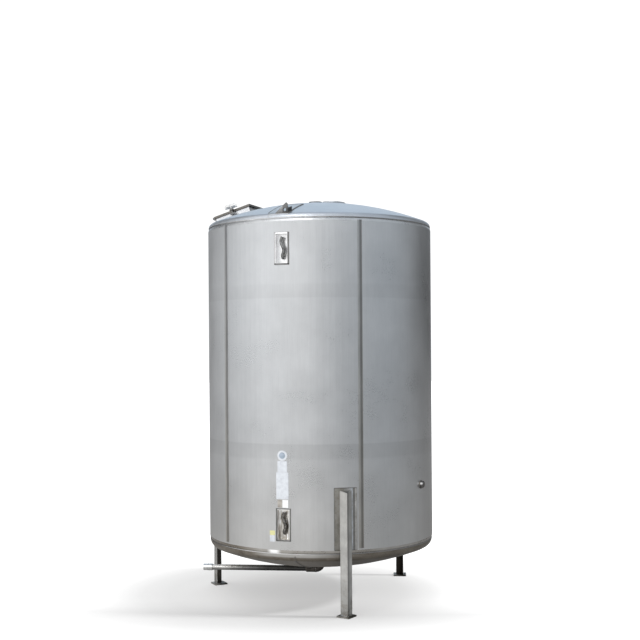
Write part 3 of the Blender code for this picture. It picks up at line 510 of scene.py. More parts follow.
def lay_weld(name, lines, metal, radius=0.003, ripple=0.006, step=0.002, closed=False):
    """One piece of weld from lines of points in the scene's frame."""
    bm = bmesh.new()
    for line in lines:
        verts = [bm.verts.new(point) for point in line]
        for first, second in zip(verts, verts[1:] + (verts[:1] if closed else [])):
            bm.edges.new((first, second))
    mesh = grown_mesh(kept_mesh(name, bm), WELD_BEAD, bead_radius=radius, ripple_length=ripple,
                      ripple_height=radius * 0.12, step=step, bead_metal=metal)
    mesh.name = name
    add_piece(name, mesh)


SEAM_AZIMUTH = -12.5
SEAM_START = 0.030
SEAM_END = HEAD_EDGE - 0.001
SEAM_LIFT = 0.0008
SEAM_STEPS = 60


def seam_line(side):
    """The seam from near the middle of the bottom to its edge, on one side."""
    reaches = [SEAM_START + (SEAM_END - SEAM_START) * step / SEAM_STEPS for step in range(SEAM_STEPS + 1)]
    return [wall_place(SEAM_AZIMUTH) @ Vector((
        side * reach, 0, LOWER_RIM_Z + SEAM_LIFT - end_height(reach, LOWER_RISE, LOWER_KNUCKLE)))
        for reach in reaches]


lay_weld("bottom_seam_weld", [seam_line(1), seam_line(-1)], WELD_DARK, radius=0.0048)

# Rim bands
# The sheet band rolled in round each end, beside the seam where the dished end laps it.
# Stainless; the lower band is painted darker and browner for shade, most towards the left and
# back, with a painted highlight at the front left. The sealant in the groove carries painted
# light, pale at the front left and dark elsewhere, with cloudy smears.
ROLLED_GRAIN = (0.03, 0.03, 1.0)
band = steel_finish("band_steel", (0.52, 0.53, 0.54), (0.72, 0.73, 0.74), 0.36, 0.24,
                    patch=6.0, grain=700.0, stretch=ROLLED_GRAIN)
dress(finish_surface(band), "top_rim_band")

DIM_LENGTH = 1.2
HIGHLIGHT_AZIMUTH = -23.0
HIGHLIGHT_REACH = (0.058, 0.012)
HIGHLIGHT_HEIGHTS = (0.4045, 0.4085)
low_band = steel_finish("low_band_steel", (0.32, 0.30, 0.27), (0.54, 0.52, 0.49), 0.38, 0.24,
                        patch=6.0, grain=700.0, stretch=ROLLED_GRAIN)
tree = low_band["tree"]
# Painted shade: darker and browner towards the left and back.
left_to_front = add_maths(tree, "MULTIPLY_ADD", along_wall(low_band, 0.0, 360.0), 1 / DIM_LENGTH, 1.0)
shade_along(low_band, left_to_front, [
    (0.0, 0.7), (0.25, (0.56, 0.52, 0.47)), (0.52, (0.60, 0.56, 0.51)), (0.64, 1.0), (1.0, 1.0)])
# A painted highlight: a pale, less metallic patch at the front left.
highlight_side = add_share(tree, add_maths(tree, "ABSOLUTE", along_wall(low_band, HIGHLIGHT_AZIMUTH, 360.0)),
                        *HIGHLIGHT_REACH, soft=True)
painted_highlight = add_maths(tree, "MULTIPLY", highlight_side, height_share(low_band, *HIGHLIGHT_HEIGHTS))
stain_by(low_band, painted_highlight, 0.97)
dress(finish_surface(low_band, add_maths(tree, "MULTIPLY_ADD", painted_highlight, -0.8, 1.0)), "bottom_rim_band")


def circle(radius, height, count):
    """Points round a piece's own z."""
    return [Vector((radius * math.cos(math.tau * k / count), radius * math.sin(math.tau * k / count), height))
            for k in range(count)]


def turned_piece(name, profile, place, material, steps=48):
    """A closed profile of radius and height points turned about its own z and set in place."""
    bm = bmesh.new()
    rings = [[bm.verts.new(point) for point in circle(radius, height, steps)] for radius, height in profile]
    for low, high in zip(rings, rings[1:] + rings[:1]):
        for k in range(steps):
            nxt = (k + 1) % steps
            bm.faces.new((low[k], low[nxt], high[nxt], high[k]))
    bmesh.ops.recalc_face_normals(bm, faces=bm.faces)
    mesh = kept_mesh(name, bm)
    mesh.transform(place)
    mesh.shade_smooth()
    mesh.set_sharp_from_angle(angle=math.radians(32))
    mesh.materials.append(material)
    add_piece(name, mesh)


def soft_finish(name, scale, detail, stops, rough, depth):
    """A dull skin, such as sealant, rubber or film, cloudy in colour, roughness and height."""
    finish, tree, place = new_finish(name)
    cloud = add_noise(tree, place, scale, detail)
    return {"material": finish, "tree": tree, "place": place, "colour": add_ramp(tree, cloud, stops),
            "rough": add_share(tree, cloud, 0.0, 1.0, *rough), "height": cloud, "depth": depth}


SEAL_INNER = 0.7740
SEAL_OUTER = 0.7950
SEAL_CROWN = 0.0012
SEAL_LOW = 2.6048
SEAL_HIGH = 2.6087
MIRROR_Z = LOWER_RIM_Z + UPPER_RIM_Z
SEAL_PAINTED_LIGHT = ((-180, 0.30, 0.0), (-100, 0.26, 0.0), (-62, 0.30, 0.0), (-48, 0.90, 0.0), (-36, 1.60, 0.0),
              (-10, 1.60, 0.0), (2, 0.80, 0.0), (12, 0.36, 0.0), (60, 0.24, 0.0), (180, 0.30, 0.0))
rim_sealant = soft_finish("rim_sealant", 16.0, 5.0, [(0.3, 0.55), (0.7, 1.0)], (0.45, 0.75), 0.0006)
smear = rim_sealant["colour"]
tree = rim_sealant["tree"]
# Painted light by bearing: pale at the front left, dark elsewhere; the cloudy smear is laid over it.
rim_sealant["colour"] = light_round(tree, *from_axis(tree, rim_sealant["place"]), SEAL_PAINTED_LIGHT)
shade_by(rim_sealant, smear, 0.5)
RIM_SEALANT = finish_surface(rim_sealant, 0.0)
for end_name, low, high in (("upper", SEAL_LOW, SEAL_HIGH),
                            ("lower", MIRROR_Z - SEAL_HIGH, MIRROR_Z - SEAL_LOW)):
    turned_piece(f"{end_name}_rim_seal", [
        (SEAL_INNER, low), (SEAL_OUTER, low), (SEAL_OUTER + SEAL_CROWN, (low + high) / 2),
        (SEAL_OUTER, high), (SEAL_INNER, high)], wall_place(0), RIM_SEALANT, steps=240)

# Jacket panels
# Five sheets of brushed stainless cladding, each 1 m wide, wrapped round the insulation.
# Two hoops under them show as faint dull bands with one crisp edge.
PANEL_LOW = 0.430
PANEL_HIGH = 2.582
POCKET_EDGES = (0.7985, 0.7975)
wall = steel_finish("wall_steel", (0.545, 0.555, 0.565), (0.665, 0.675, 0.685), 0.36, 0.26,
                    patch=2.6, grain=420.0, speck=170.0, stretch=(1.0, 1.0, 0.015), depth=0.00001)
tree = wall["tree"]
level = height_share(wall, PANEL_LOW, PANEL_HIGH)


def level_at(height):
    return (height - PANEL_LOW) / (PANEL_HIGH - PANEL_LOW)


shade_along(wall, level, [
    (0.0, 1.0), (level_at(1.015), 1.0), (level_at(1.035), 0.93), (level_at(1.123), 0.90),
    (level_at(1.127), 1.0), (level_at(2.078), 1.0), (level_at(2.082), 0.94),
    (level_at(2.165), 0.96), (level_at(2.180), 1.0), (1.0, 1.0)])
drawn = add_node(tree, "ShaderNodeMapping", {"Vector": wall["place"], "Scale": (9.0, 9.0, 0.35)})
streaks = add_noise(tree, drawn.outputs[0], 1.0, 3.0)
shade_along(wall, streaks, [(0.3, 0.95), (0.7, 1.0)])
shade_along(wall, level, [(0.0, (0.97, 0.95, 0.92)), (0.35, 1.0), (1.0, 1.0)])
wall["swell"] = add_noise(tree, wall["place"], 2.2, 1.0)
wall["swell_depth"] = 0.0022
# Painted light inside the pockets: near white in the upper one, darker with painted glints in the lower.
glints = add_noise(tree, stretch_place(tree, wall["place"], (1.0, 1.0, 0.22)), 62.0, 2.0)
low_pocket = add_ramp(tree, glints, [(0.36, (0.34, 0.31, 0.27)), (0.50, (0.66, 0.63, 0.58)), (0.60, 1.0)])
pocket_light = mix_colours(tree, add_maths(tree, "GREATER_THAN", level, 0.5), low_pocket, rgba(0.96))
wall["colour"] = mix_colours(tree, add_share(tree, axis_distance(wall), *POCKET_EDGES),
                             wall["colour"], pocket_light)
dress(finish_surface(wall), *[f"jacket_panel_{number}" for number in range(1, 6)])

# Joint strips
# Narrow cover strips of stainless sheet over the gaps between the panels, spot welded down
# both edges. The hollow along their middle is a bump in the material, with painted shade in
# it, deepest right of the middle; the strip on the left gets its own painted shade.
FIRST_JOINT = 19.2
JOINT_SPREAD = 72.0
STRIP_HALF = 0.016
STRIP_HEIGHTS = (0.44, 2.59)
LEFT_STRIP_X = -0.3
strip = steel_finish("strip_steel", 0.46, 0.60, 0.46, 0.32,
                     patch=6.0, grain=500.0, stretch=(1.0, 1.0, 0.02))
tree = strip["tree"]
across = across_line(strip, FIRST_JOINT, JOINT_SPREAD, STRIP_HALF)
# Painted shade across each strip, darkest right of the middle; the strip on the left has its own.
shade_by(strip, mix_colours(
    tree, add_maths(tree, "LESS_THAN", place_part(strip, "X"), LEFT_STRIP_X),
    add_ramp(tree, across, [(0.0, 0.92), (0.12, 0.86), (0.36, 0.72), (0.50, 0.48), (0.62, 0.40),
                            (0.90, 0.38), (0.96, 0.60), (1.0, 0.85)]),
    add_ramp(tree, across, [(0.0, 0.98), (0.30, 0.92), (0.50, 0.76), (0.62, 0.44), (0.76, 0.42),
                            (0.90, 0.82), (1.0, 0.98)])))
shade_along(strip, height_share(strip, *STRIP_HEIGHTS), [
    (0.0, (0.96, 0.92, 0.85)), (0.45, (0.97, 0.96, 0.93)), (1.0, (0.98, 0.99, 1.0))])
strip["swell"] = add_ramp(tree, across, [(0.0, 1.0), (0.3, 0.75), (0.62, 0.0), (0.85, 0.3), (1.0, 1.0)], True)
strip["swell_depth"] = 0.0015
dress(finish_surface(strip), *[f"joint_strip_{number}" for number in range(1, 6)])


def about_z(group, angle):
    return add_node(group, "FunctionNodeAxisAngleToRotation", {
        "Axis": (0.0, 0.0, 1.0), "Angle": angle}).outputs[0]


def spot_row_tree():
    """A shallow spot-weld dimple at each point of the source mesh, turned to face outward."""
    group, given = node_group("spot_row", "GeometryNodeTree", [
        ("Geometry", "Geometry"), ("Spot Radius", "Float", 0.003), ("Spot Height", "Float", 0.0006),
        ("Spot Metal", "Material")], [("Geometry", "Geometry")])
    button = add_node(group, "GeometryNodeMeshIcoSphere", {"Radius": 1.0, "Subdivisions": 2}).outputs[0]
    size = add_node(group, "ShaderNodeCombineXYZ", {
        0: given["Spot Height"], 1: given["Spot Radius"], 2: given["Spot Radius"]}).outputs[0]
    turn = add_node(group, "GeometryNodeInputNamedAttribute", {"Name": "turn"}, data_type="FLOAT").outputs[0]
    spots = add_node(group, "GeometryNodeInstanceOnPoints", {
        "Points": given["Geometry"], "Instance": button, "Scale": size,
        "Rotation": about_z(group, turn)}).outputs[0]
    real = add_node(group, "GeometryNodeRealizeInstances", {"Geometry": spots}).outputs[0]
    soft = add_node(group, "GeometryNodeSetShadeSmooth", {"Geometry": real}).outputs[0]
    return give_coated(group, soft, given["Spot Metal"])


SPOT_PITCH = 0.150
SPOT_SIDE = 0.0115
SPOT_FIRST_Z = 0.470
SPOT_SEAT = 0.80257
SPOTS_PER_ROW = 15
bm = bmesh.new()
turn_layer = bm.verts.layers.float.new("turn")
for number in range(5):
    azimuth = FIRST_JOINT + number * JOINT_SPREAD
    for side in (-SPOT_SIDE, SPOT_SIDE):
        for step in range(SPOTS_PER_ROW):
            height = SPOT_FIRST_Z + step * SPOT_PITCH
            point = bm.verts.new(wall_place(azimuth) @ Vector((SPOT_SEAT, side, height)))
            point[turn_layer] = math.radians(azimuth - 90)
spot_metal = steel_finish("spot_metal", 0.30, 0.50, 0.5, 0.35, patch=40.0, grain=600.0)
spot_mesh = grown_mesh(kept_mesh("strip_spot_welds", bm), spot_row_tree(), spot_radius=0.0028,
                       spot_height=0.00035, spot_metal=finish_surface(spot_metal))
add_piece("strip_spot_welds", spot_mesh)

# Legs
# Three legs of stainless angle, corner outward, each welded to a doubler pad on the wall
# and to a square foot plate. Mill finish, scuffed low down, with a bluish heat tint on the
# pads. Painted shade darkens the inner faces of the angles, the face right of each corner,
# the whole right rear leg and the right side of each foot plate.
LEG_AZIMUTHS = {"front": 11.5, "rear_left": -108.5, "rear_right": 131.5}
LEG_SPREAD = 120.0
LEG_TOP_Z = 0.822
LEG_FOLD = 0.846
LEG_PAD_GAP_HEIGHTS = (0.44, 0.47)
SHADED_SIDE_X = 0.52
PAD_HALF = 0.075
PAD_LOW = 0.430
PAD_TOP = 0.838

leg = steel_finish("leg_steel", (0.42, 0.415, 0.40), (0.62, 0.615, 0.59), 0.46, 0.30,
                   patch=12.0, grain=380.0, stretch=(1.0, 1.0, 0.03), depth=0.00003)
tree = leg["tree"]
low_share = add_ramp(tree, height_share(leg, 0.0, 0.9), [(0.0, 1.0), (0.16, 0.35), (0.5, 0.1), (1.0, 0.15)])
blotch(leg, 26.0, 5.0, 0.7, (0.45, 0.68), low_share, (0.24, 0.21, 0.17))
turned = along_wall(leg, LEG_AZIMUTHS["front"], LEG_SPREAD, radius=1.0)
aside = add_maths(tree, "SINE", turned)
fold = add_maths(tree, "MULTIPLY", axis_distance(leg), add_maths(
    tree, "ADD", add_maths(tree, "COSINE", turned), add_maths(tree, "ABSOLUTE", aside)))
# Painted shade on the inner faces of the angle.
inner_face = add_maths(tree, "MULTIPLY", add_share(tree, fold, LEG_FOLD - 0.0025, LEG_FOLD - 0.0055),
                       add_maths(tree, "SUBTRACT", 1.0, height_share(leg, *LEG_PAD_GAP_HEIGHTS)))
shade_along(leg, inner_face, [(0.0, 1.0), (1.0, (0.16, 0.15, 0.14))])
# Painted shade on the face right of the corner, and painted light towards its toe.
shade_along(leg, add_maths(tree, "MULTIPLY_ADD", aside, 12.0, 0.5), [
    (0.0, 0.94), (0.06, 1.05), (0.12, 1.0), (0.49, 1.0), (0.52, 0.60), (0.66, 0.72), (0.78, 1.05),
    (1.0, 1.1)])
# Painted shade over the whole right rear leg.
shade_along(leg, add_maths(tree, "GREATER_THAN", place_part(leg, "X"), SHADED_SIDE_X), [
    (0.0, 1.0), (1.0, (0.60, 0.57, 0.52))])
dress(finish_surface(leg), *[f"leg_{side}" for side in LEG_AZIMUTHS])

pad = steel_finish("pad_steel", (0.34, 0.33, 0.31), (0.58, 0.575, 0.56), 0.52, 0.34,
                   patch=16.0, grain=300.0, stretch=(1.0, 1.0, 0.05), depth=0.00003)
shade_along(pad, across_line(pad, LEG_AZIMUTHS["front"], LEG_SPREAD, PAD_HALF), [
    (0.0, 0.50), (0.05, (0.66, 0.64, 0.60)), (0.30, (0.60, 0.58, 0.54)), (0.50, 0.7), (0.66, 0.85),
    (0.70, (1.10, 1.16, 1.25)), (0.80, (1.05, 1.12, 1.22)), (0.84, 0.48), (0.91, 0.50), (0.93, 1.15),
    (1.0, 1.1)])
blotch(pad, 55.0, 6.0, 0.75, (0.50, 0.72), 0.7, (0.20, 0.17, 0.13))
shade_along(pad, height_share(pad, PAD_LOW, PAD_TOP), [
    (0.0, 0.5), (0.03, 0.9), (0.90, 1.0), (0.93, 1.15), (0.985, 1.1), (1.0, 0.6)])
dress(finish_surface(pad), *[f"leg_pad_{side}" for side in LEG_AZIMUTHS])

FOOT_CENTRE = 0.807
SHADE_START = {"front": 0.005, "rear_left": 0.005, "rear_right": 0.09}
SHADE_END = 0.020
for side, azimuth in LEG_AZIMUTHS.items():
    foot = steel_finish(f"foot_steel_{side}", (0.26, 0.25, 0.23), (0.50, 0.48, 0.45), 0.60, 0.40,
                        patch=30.0, grain=200.0, depth=0.00008)
    blotch(foot, 60.0, 6.0, 0.5, (0.45, 0.75), 0.6, (0.42, 0.38, 0.32))
    # Painted shade over the right side of each foot plate, and over most of the right rear one.
    middle = AXIS_X + FOOT_CENTRE * math.sin(math.radians(azimuth))
    right_side_shade = add_share(foot["tree"], place_part(foot, "X"), middle - SHADE_START[side], middle + SHADE_END)
    shade_along(foot, right_side_shade, [(0.0, 1.0), (1.0, (0.16, 0.15, 0.13))])
    dress(finish_surface(foot), f"foot_plate_{side}")


def wall_point(place, side, height, lift=0.0):
    """A point at a height and a distance along the wall, lifted off it."""
    radius = WALL_RADIUS + lift
    angle = side / WALL_RADIUS
    return place @ Vector((radius * math.cos(angle), radius * math.sin(angle), height))


def stepped(start, end, steps):
    """Places spread evenly from one place up to another, which isn't among them."""
    return [tuple(a + (b - a) * step / steps for a, b in zip(start, end)) for step in range(steps)]


def stepped_round(half_y, half_z, steps):
    """Places spread evenly round the four sides of a rectangle."""
    corners = [(-half_y, -half_z), (half_y, -half_z), (half_y, half_z), (-half_y, half_z)]
    return [spot for start, end in zip(corners, corners[1:] + corners[:1])
            for spot in stepped(start, end, steps)]


PAD_WELD_LIFT = 0.0008
PAD_WELD_LOW = PAD_LOW + 0.004
LEG_WELD_OUT = 0.80285
LEG_WELD_SIDE = 0.0378
LEG_WELD_LOW = PAD_LOW + 0.006
LEG_WELD_TOP = LEG_TOP_Z - 0.004
FOOT_WELD_OUT = 0.8465
FOOT_WELD_Z = 0.0112
pad_lines = []
leg_lines = []
for azimuth in LEG_AZIMUTHS.values():
    spot = wall_place(azimuth)
    outline = (stepped((-PAD_HALF, PAD_WELD_LOW), (-PAD_HALF, PAD_TOP), 24)
               + stepped((-PAD_HALF, PAD_TOP), (PAD_HALF, PAD_TOP), 8)
               + stepped((PAD_HALF, PAD_TOP), (PAD_HALF, PAD_WELD_LOW), 24) + [(PAD_HALF, PAD_WELD_LOW)])
    pad_lines.append([wall_point(spot, side, height, PAD_WELD_LIFT) for side, height in outline])
    for sign in (-1, 1):
        foot_end = (LEG_WELD_OUT, sign * LEG_WELD_SIDE, LEG_WELD_LOW)
        top_end = (LEG_WELD_OUT, sign * LEG_WELD_SIDE, LEG_WELD_TOP)
        leg_lines.append([spot @ Vector(point) for point in stepped(foot_end, top_end, 24) + [top_end]])
        leg_lines.append([spot @ Vector((FOOT_WELD_OUT - along, sign * (along + 0.0005), FOOT_WELD_Z))
                          for along in (0.002, 0.010, 0.020, 0.030, 0.038)])
lay_weld("leg_pad_welds", pad_lines, WELD_DARK, radius=0.0026, step=0.003, ripple=0.009)
lay_weld("leg_welds", leg_lines, WELD_BRIGHT, radius=0.0024, step=0.003, ripple=0.009)

# Jacket recesses
# Two pockets through the cladding, each with a stainless frame round it and the bent pipe
# end of the heating jacket inside. The frames carry painted light, the upper one bright and
# the lower one darker. A grey bead seals the frames to the wall.
RECESS_AZIMUTH = -18.0
RECESS_LEVELS = {"upper": 2.404, "lower": 0.596}
RECESS_FRAME_HALF = (0.050, 0.106)
FRAME_SEAL_LIFT = 0.0012
half_y, half_z = RECESS_FRAME_HALF
frame_bright = steel_finish("frame_bright", (0.84, 0.85, 0.86), 0.96, 0.32, 0.20,
                            patch=20.0, grain=500.0, stretch=(1.0, 1.0, 0.05))
frame_shaded = steel_finish("frame_shaded", (0.50, 0.49, 0.47), (0.80, 0.79, 0.77), 0.46, 0.28,
                          patch=24.0, grain=500.0, stretch=(1.0, 1.0, 0.05))
UPPER_FRAME_LIGHT = ([(0.0, 0.50), (0.085, 0.66), (0.10, 1.0), (0.90, 1.0), (0.915, 0.16), (1.0, 0.13)],
               [(0.0, 0.18), (0.040, 0.22), (0.050, 1.0), (0.95, 1.0), (1.0, 0.95)])
LOWER_FRAME_LIGHT = ([(0.0, 0.14), (0.06, 0.20), (0.10, 0.75), (0.88, 1.0), (0.94, 1.0), (0.955, 0.18),
                (1.0, 0.14)],
               [(0.0, 0.20), (0.03, 0.35), (0.06, 0.8), (0.94, 1.0), (0.955, 1.25), (0.98, 1.2),
                (0.985, 0.2), (1.0, 0.2)])
# Painted light on the frames: shade along their edges, deepest on the right and at the bottom, and a painted
# highlight near the top of the lower one.
for end_name, frame_steel, metallic, (side_stops, rise_stops) in (
        ("upper", frame_bright, 0.35, UPPER_FRAME_LIGHT), ("lower", frame_shaded, 0.7, LOWER_FRAME_LIGHT)):
    middle = RECESS_LEVELS[end_name]
    shade_along(frame_steel, across_line(frame_steel, RECESS_AZIMUTH, 360.0, half_y), side_stops)
    shade_along(frame_steel, height_share(frame_steel, middle - half_z, middle + half_z), rise_stops)
    dress(finish_surface(frame_steel, metallic), f"{end_name}_recess_frame")
# The jacket pipes are darkened with painted shade inside the pockets, the lower one most.
pipe_bright = steel_finish("pipe_bright", 0.02, (0.42, 0.42, 0.41), 0.24, 0.12, patch=44.0, grain=500.0)
dress(finish_surface(pipe_bright), "upper_jacket_pipe")
pipe_dark = steel_finish("pipe_dark", (0.03, 0.028, 0.025), (0.34, 0.32, 0.30), 0.36, 0.16,
                         patch=44.0, grain=500.0)
dress(finish_surface(pipe_dark), "lower_jacket_pipe")

sealant = soft_finish("sealant_grey", 60.0, 4.0, [(0.3, (0.16, 0.16, 0.155)), (0.7, (0.30, 0.30, 0.29))],
                      (0.5, 0.8), 0.0004)
seal_lines = [[wall_point(wall_place(RECESS_AZIMUTH), side, middle + up, FRAME_SEAL_LIFT)
               for side, up in stepped_round(half_y, half_z, 10)] for middle in RECESS_LEVELS.values()]
lay_weld("recess_frame_seals", seal_lines, finish_surface(sealant, 0.0), radius=0.0022,
         ripple=0.05, step=0.003, closed=True)

# Side boss
# A short boss on the right of the wall, closed by a dark domed plug with a painted
# highlight on one side, and welded all round.
BOSS_AZIMUTH = 59.0
BOSS_SEAT = 0.8003
BOSS_Z = 0.8135
boss_place = (wall_place(BOSS_AZIMUTH) @ Matrix.Translation((BOSS_SEAT, 0, BOSS_Z))
              @ Matrix.Rotation(math.radians(90), 4, "Y"))
HIGHLIGHT_SPOT = boss_place @ Vector((-0.008, -0.019, 0.011))
boss = steel_finish("boss_steel", (0.09, 0.085, 0.08), (0.22, 0.21, 0.20), 0.24, 0.12,
                    patch=60.0, grain=400.0)
tree = boss["tree"]
# A painted highlight: a pale, less metallic spot on one side of the plug.
from_spot = add_node(tree, "ShaderNodeVectorMath", {
    0: boss["place"], 1: tuple(HIGHLIGHT_SPOT)}, operation="DISTANCE").outputs["Value"]
painted_highlight = add_share(tree, from_spot, 0.013, 0.004, soft=True)
stain_by(boss, painted_highlight, 0.80)
dress(finish_surface(boss, add_maths(tree, "SUBTRACT", 1.0, painted_highlight)), "side_boss")


def ring_line(place, radius, height, count=48):
    """Points of a ring about a piece's own z, in the scene's frame."""
    return [place @ point for point in circle(radius, height, count)]


lay_weld("boss_weld", [ring_line(boss_place, 0.0262, 0.0008, 32)], WELD_DARK, radius=0.0028, closed=True)

# Drain
# The outlet under the middle: cast neck, elbow and coupling, then a stainless pipe out to a
# union past the left side. The joints are welded, the union has turned grip rings.
DRAIN_AZIMUTH = -96.0
DRAIN_Z = 0.160
PIPE_HEIGHTS = (0.139, 0.181)
cast = steel_finish("cast_fitting", (0.045, 0.04, 0.036), (0.17, 0.155, 0.14), 0.70, 0.46,
                    patch=30.0, grain=240.0, speck=220.0, depth=0.0003)
dress(finish_surface(cast), "drain_neck", "drain_elbow", "drain_coupling")
pipe_steel = steel_finish("drain_pipe_steel", (0.44, 0.43, 0.41), (0.72, 0.71, 0.69), 0.36, 0.18,
                          patch=14.0, grain=500.0, stretch=(0.03, 1.0, 1.0))
# Painted shade towards the middle under the tank, and painted light: the top of the pipe lighter than its
# underside.
shade_along(pipe_steel, axis_distance(pipe_steel), [
    (0.10, 0.08), (0.40, 0.13), (0.56, 0.40), (0.70, 1.0), (1.0, 1.0)])
shade_along(pipe_steel, height_share(pipe_steel, *PIPE_HEIGHTS), [
    (0.0, 0.22), (0.30, 0.35), (0.55, 0.9), (0.80, 1.25), (1.0, 1.3)])
dress(finish_surface(pipe_steel, 0.5), "drain_pipe")
UNION_STEEL = finish_surface(steel_finish("union_steel", (0.60, 0.60, 0.59), (0.84, 0.84, 0.82), 0.30, 0.16,
                                          patch=30.0, grain=500.0))
dress(UNION_STEEL, "drain_union")
drain_place = (wall_place(DRAIN_AZIMUTH) @ Matrix.Translation((0, 0, DRAIN_Z))
               @ Matrix.Rotation(math.radians(90), 4, "Y"))
DRAIN_WELDS = ((0.0262, 0.0402), (0.0212, 0.1106), (0.0208, 0.7990))
lay_weld("drain_welds", [ring_line(drain_place, radius, along, 32) for radius, along in DRAIN_WELDS],
         WELD_DARK, radius=0.0022, closed=True)

UNION_RINGS = (0.8085, 0.8210, 0.8330)
RING_HALF = 0.0032
RING_ROOT = 0.0232
RING_SHOULDER = 0.0252
RING_CREST = 0.0255
for number, along in enumerate(UNION_RINGS):
    turned_piece(f"union_ring_{number + 1}", [
        (RING_ROOT, along - RING_HALF), (RING_SHOULDER, along - RING_HALF * 0.6), (RING_CREST, along),
        (RING_SHOULDER, along + RING_HALF * 0.6), (RING_ROOT, along + RING_HALF)],
        drain_place, UNION_STEEL)

# Lifting lugs
# A holed plate and a short rib, welded on a doubler sheet at the front and the back of the
# dome. Hot rolled stainless, dull, with painted light: darker low down, lighter near the top,
# and painted shade on the right side and the rib.
LUG_AZIMUTHS = {"front": -18.5, "rear": 161.5}
LUG_HEIGHTS = (2.640, 2.706)
lug = steel_finish("lug_steel", 0.30, 0.56, 0.52, 0.34, patch=30.0, grain=300.0, depth=0.00005)
# Painted light: darker low down and lighter near the top; then painted shade on the right side and the rib.
shade_along(lug, height_share(lug, *LUG_HEIGHTS), [
    (0.0, 0.50), (0.35, 0.65), (0.60, 1.1), (0.9, 1.35), (1.0, 1.0)])
shade_along(lug, across_line(lug, LUG_AZIMUTHS["front"], 180.0, 0.05), [
    (0.0, 0.9), (0.45, 1.15), (0.56, 1.0), (0.66, 0.42), (1.0, 0.30)])
dress(finish_surface(lug), "lifting_lug_front", "lifting_lug_rear")
lug_pad = steel_finish("lug_pad_steel", (0.46, 0.48, 0.50), (0.64, 0.66, 0.68), 0.44, 0.30,
                       patch=12.0, grain=300.0)
dress(finish_surface(lug_pad), "lug_pad_front", "lug_pad_rear")


def dome_point(place, out, side, lift):
    """A point over the dome at a distance outward and aside, lifted off its face."""
    return place @ Vector((out, side, dome_z(math.hypot(out, side)) + lift))


LUG_PAD_SIDES = (-0.093, 0.054)
LUG_PAD_REACH = (0.500, 0.790)
LUG_FACES = (0.7772, 0.7888)
RIB_FACE = 0.0392
lug_lines = []
lug_pad_lines = []
for azimuth in LUG_AZIMUTHS.values():
    spot = wall_place(azimuth)
    low_y, high_y = LUG_PAD_SIDES
    inner, outer = LUG_PAD_REACH
    outline = (stepped((outer, low_y), (inner, low_y), 20) + stepped((inner, low_y), (inner, high_y), 12)
               + stepped((inner, high_y), (outer, high_y), 20) + [(outer, high_y)])
    lug_pad_lines.append([dome_point(spot, out, side, 0.0012) for out, side in outline
                          if math.hypot(out, side) < HEAD_EDGE - 0.004])
    for face in LUG_FACES:
        lug_lines.append([dome_point(spot, face, side, 0.0042)
                          for side in (-0.036, -0.020, 0.0, 0.018, 0.034, 0.048)])
    lug_lines.append([dome_point(spot, out, RIB_FACE, 0.0040) for out in (0.722, 0.740, 0.760, 0.774)])
lay_weld("lug_pad_welds", lug_pad_lines, WELD_DARK, radius=0.0036, step=0.003, ripple=0.009)
lay_weld("lug_welds", lug_lines, WELD_DARK, radius=0.0024)

# Vent and port
# The low capped vent nozzle and, beside it, a port closed by a blind cover with eight
# hexagon screws. Both are stainless, with a bright weld where they meet the dome.
VENT_CENTRE = (-0.026, -0.040)
PORT_AZIMUTH = 115.0
PORT_DISTANCE = 0.118
CROWN_RADIUS = 2.1045
vent = steel_finish("vent_cap_steel", (0.20, 0.21, 0.22), (0.34, 0.35, 0.37), 0.44, 0.28,
                    patch=30.0, grain=400.0)
dress(finish_surface(vent), "vent_cap")
vent_neck = steel_finish("vent_neck_steel", (0.16, 0.16, 0.17), (0.34, 0.35, 0.36), 0.46, 0.30,
                         patch=30.0, grain=400.0)
dress(finish_surface(vent_neck), "vent_neck")
port = steel_finish("port_steel", (0.46, 0.48, 0.51), (0.64, 0.66, 0.69), 0.44, 0.28,
                    patch=20.0, grain=400.0)
dress(finish_surface(port), "top_port")
vent_place = Matrix.Translation((AXIS_X + VENT_CENTRE[0], AXIS_Y + VENT_CENTRE[1], 0))
port_place = (wall_place(PORT_AZIMUTH) @ Matrix.Translation((PORT_DISTANCE, 0, dome_z(PORT_DISTANCE)))
              @ Matrix.Rotation(math.asin(PORT_DISTANCE / CROWN_RADIUS), 4, "Y"))
lay_weld("nozzle_welds", [ring_line(vent_place, 0.0392, dome_z(math.hypot(*VENT_CENTRE)) + 0.001),
                          ring_line(port_place, 0.0712, 0.0012)],
         WELD_BRIGHT, radius=0.0024, closed=True)


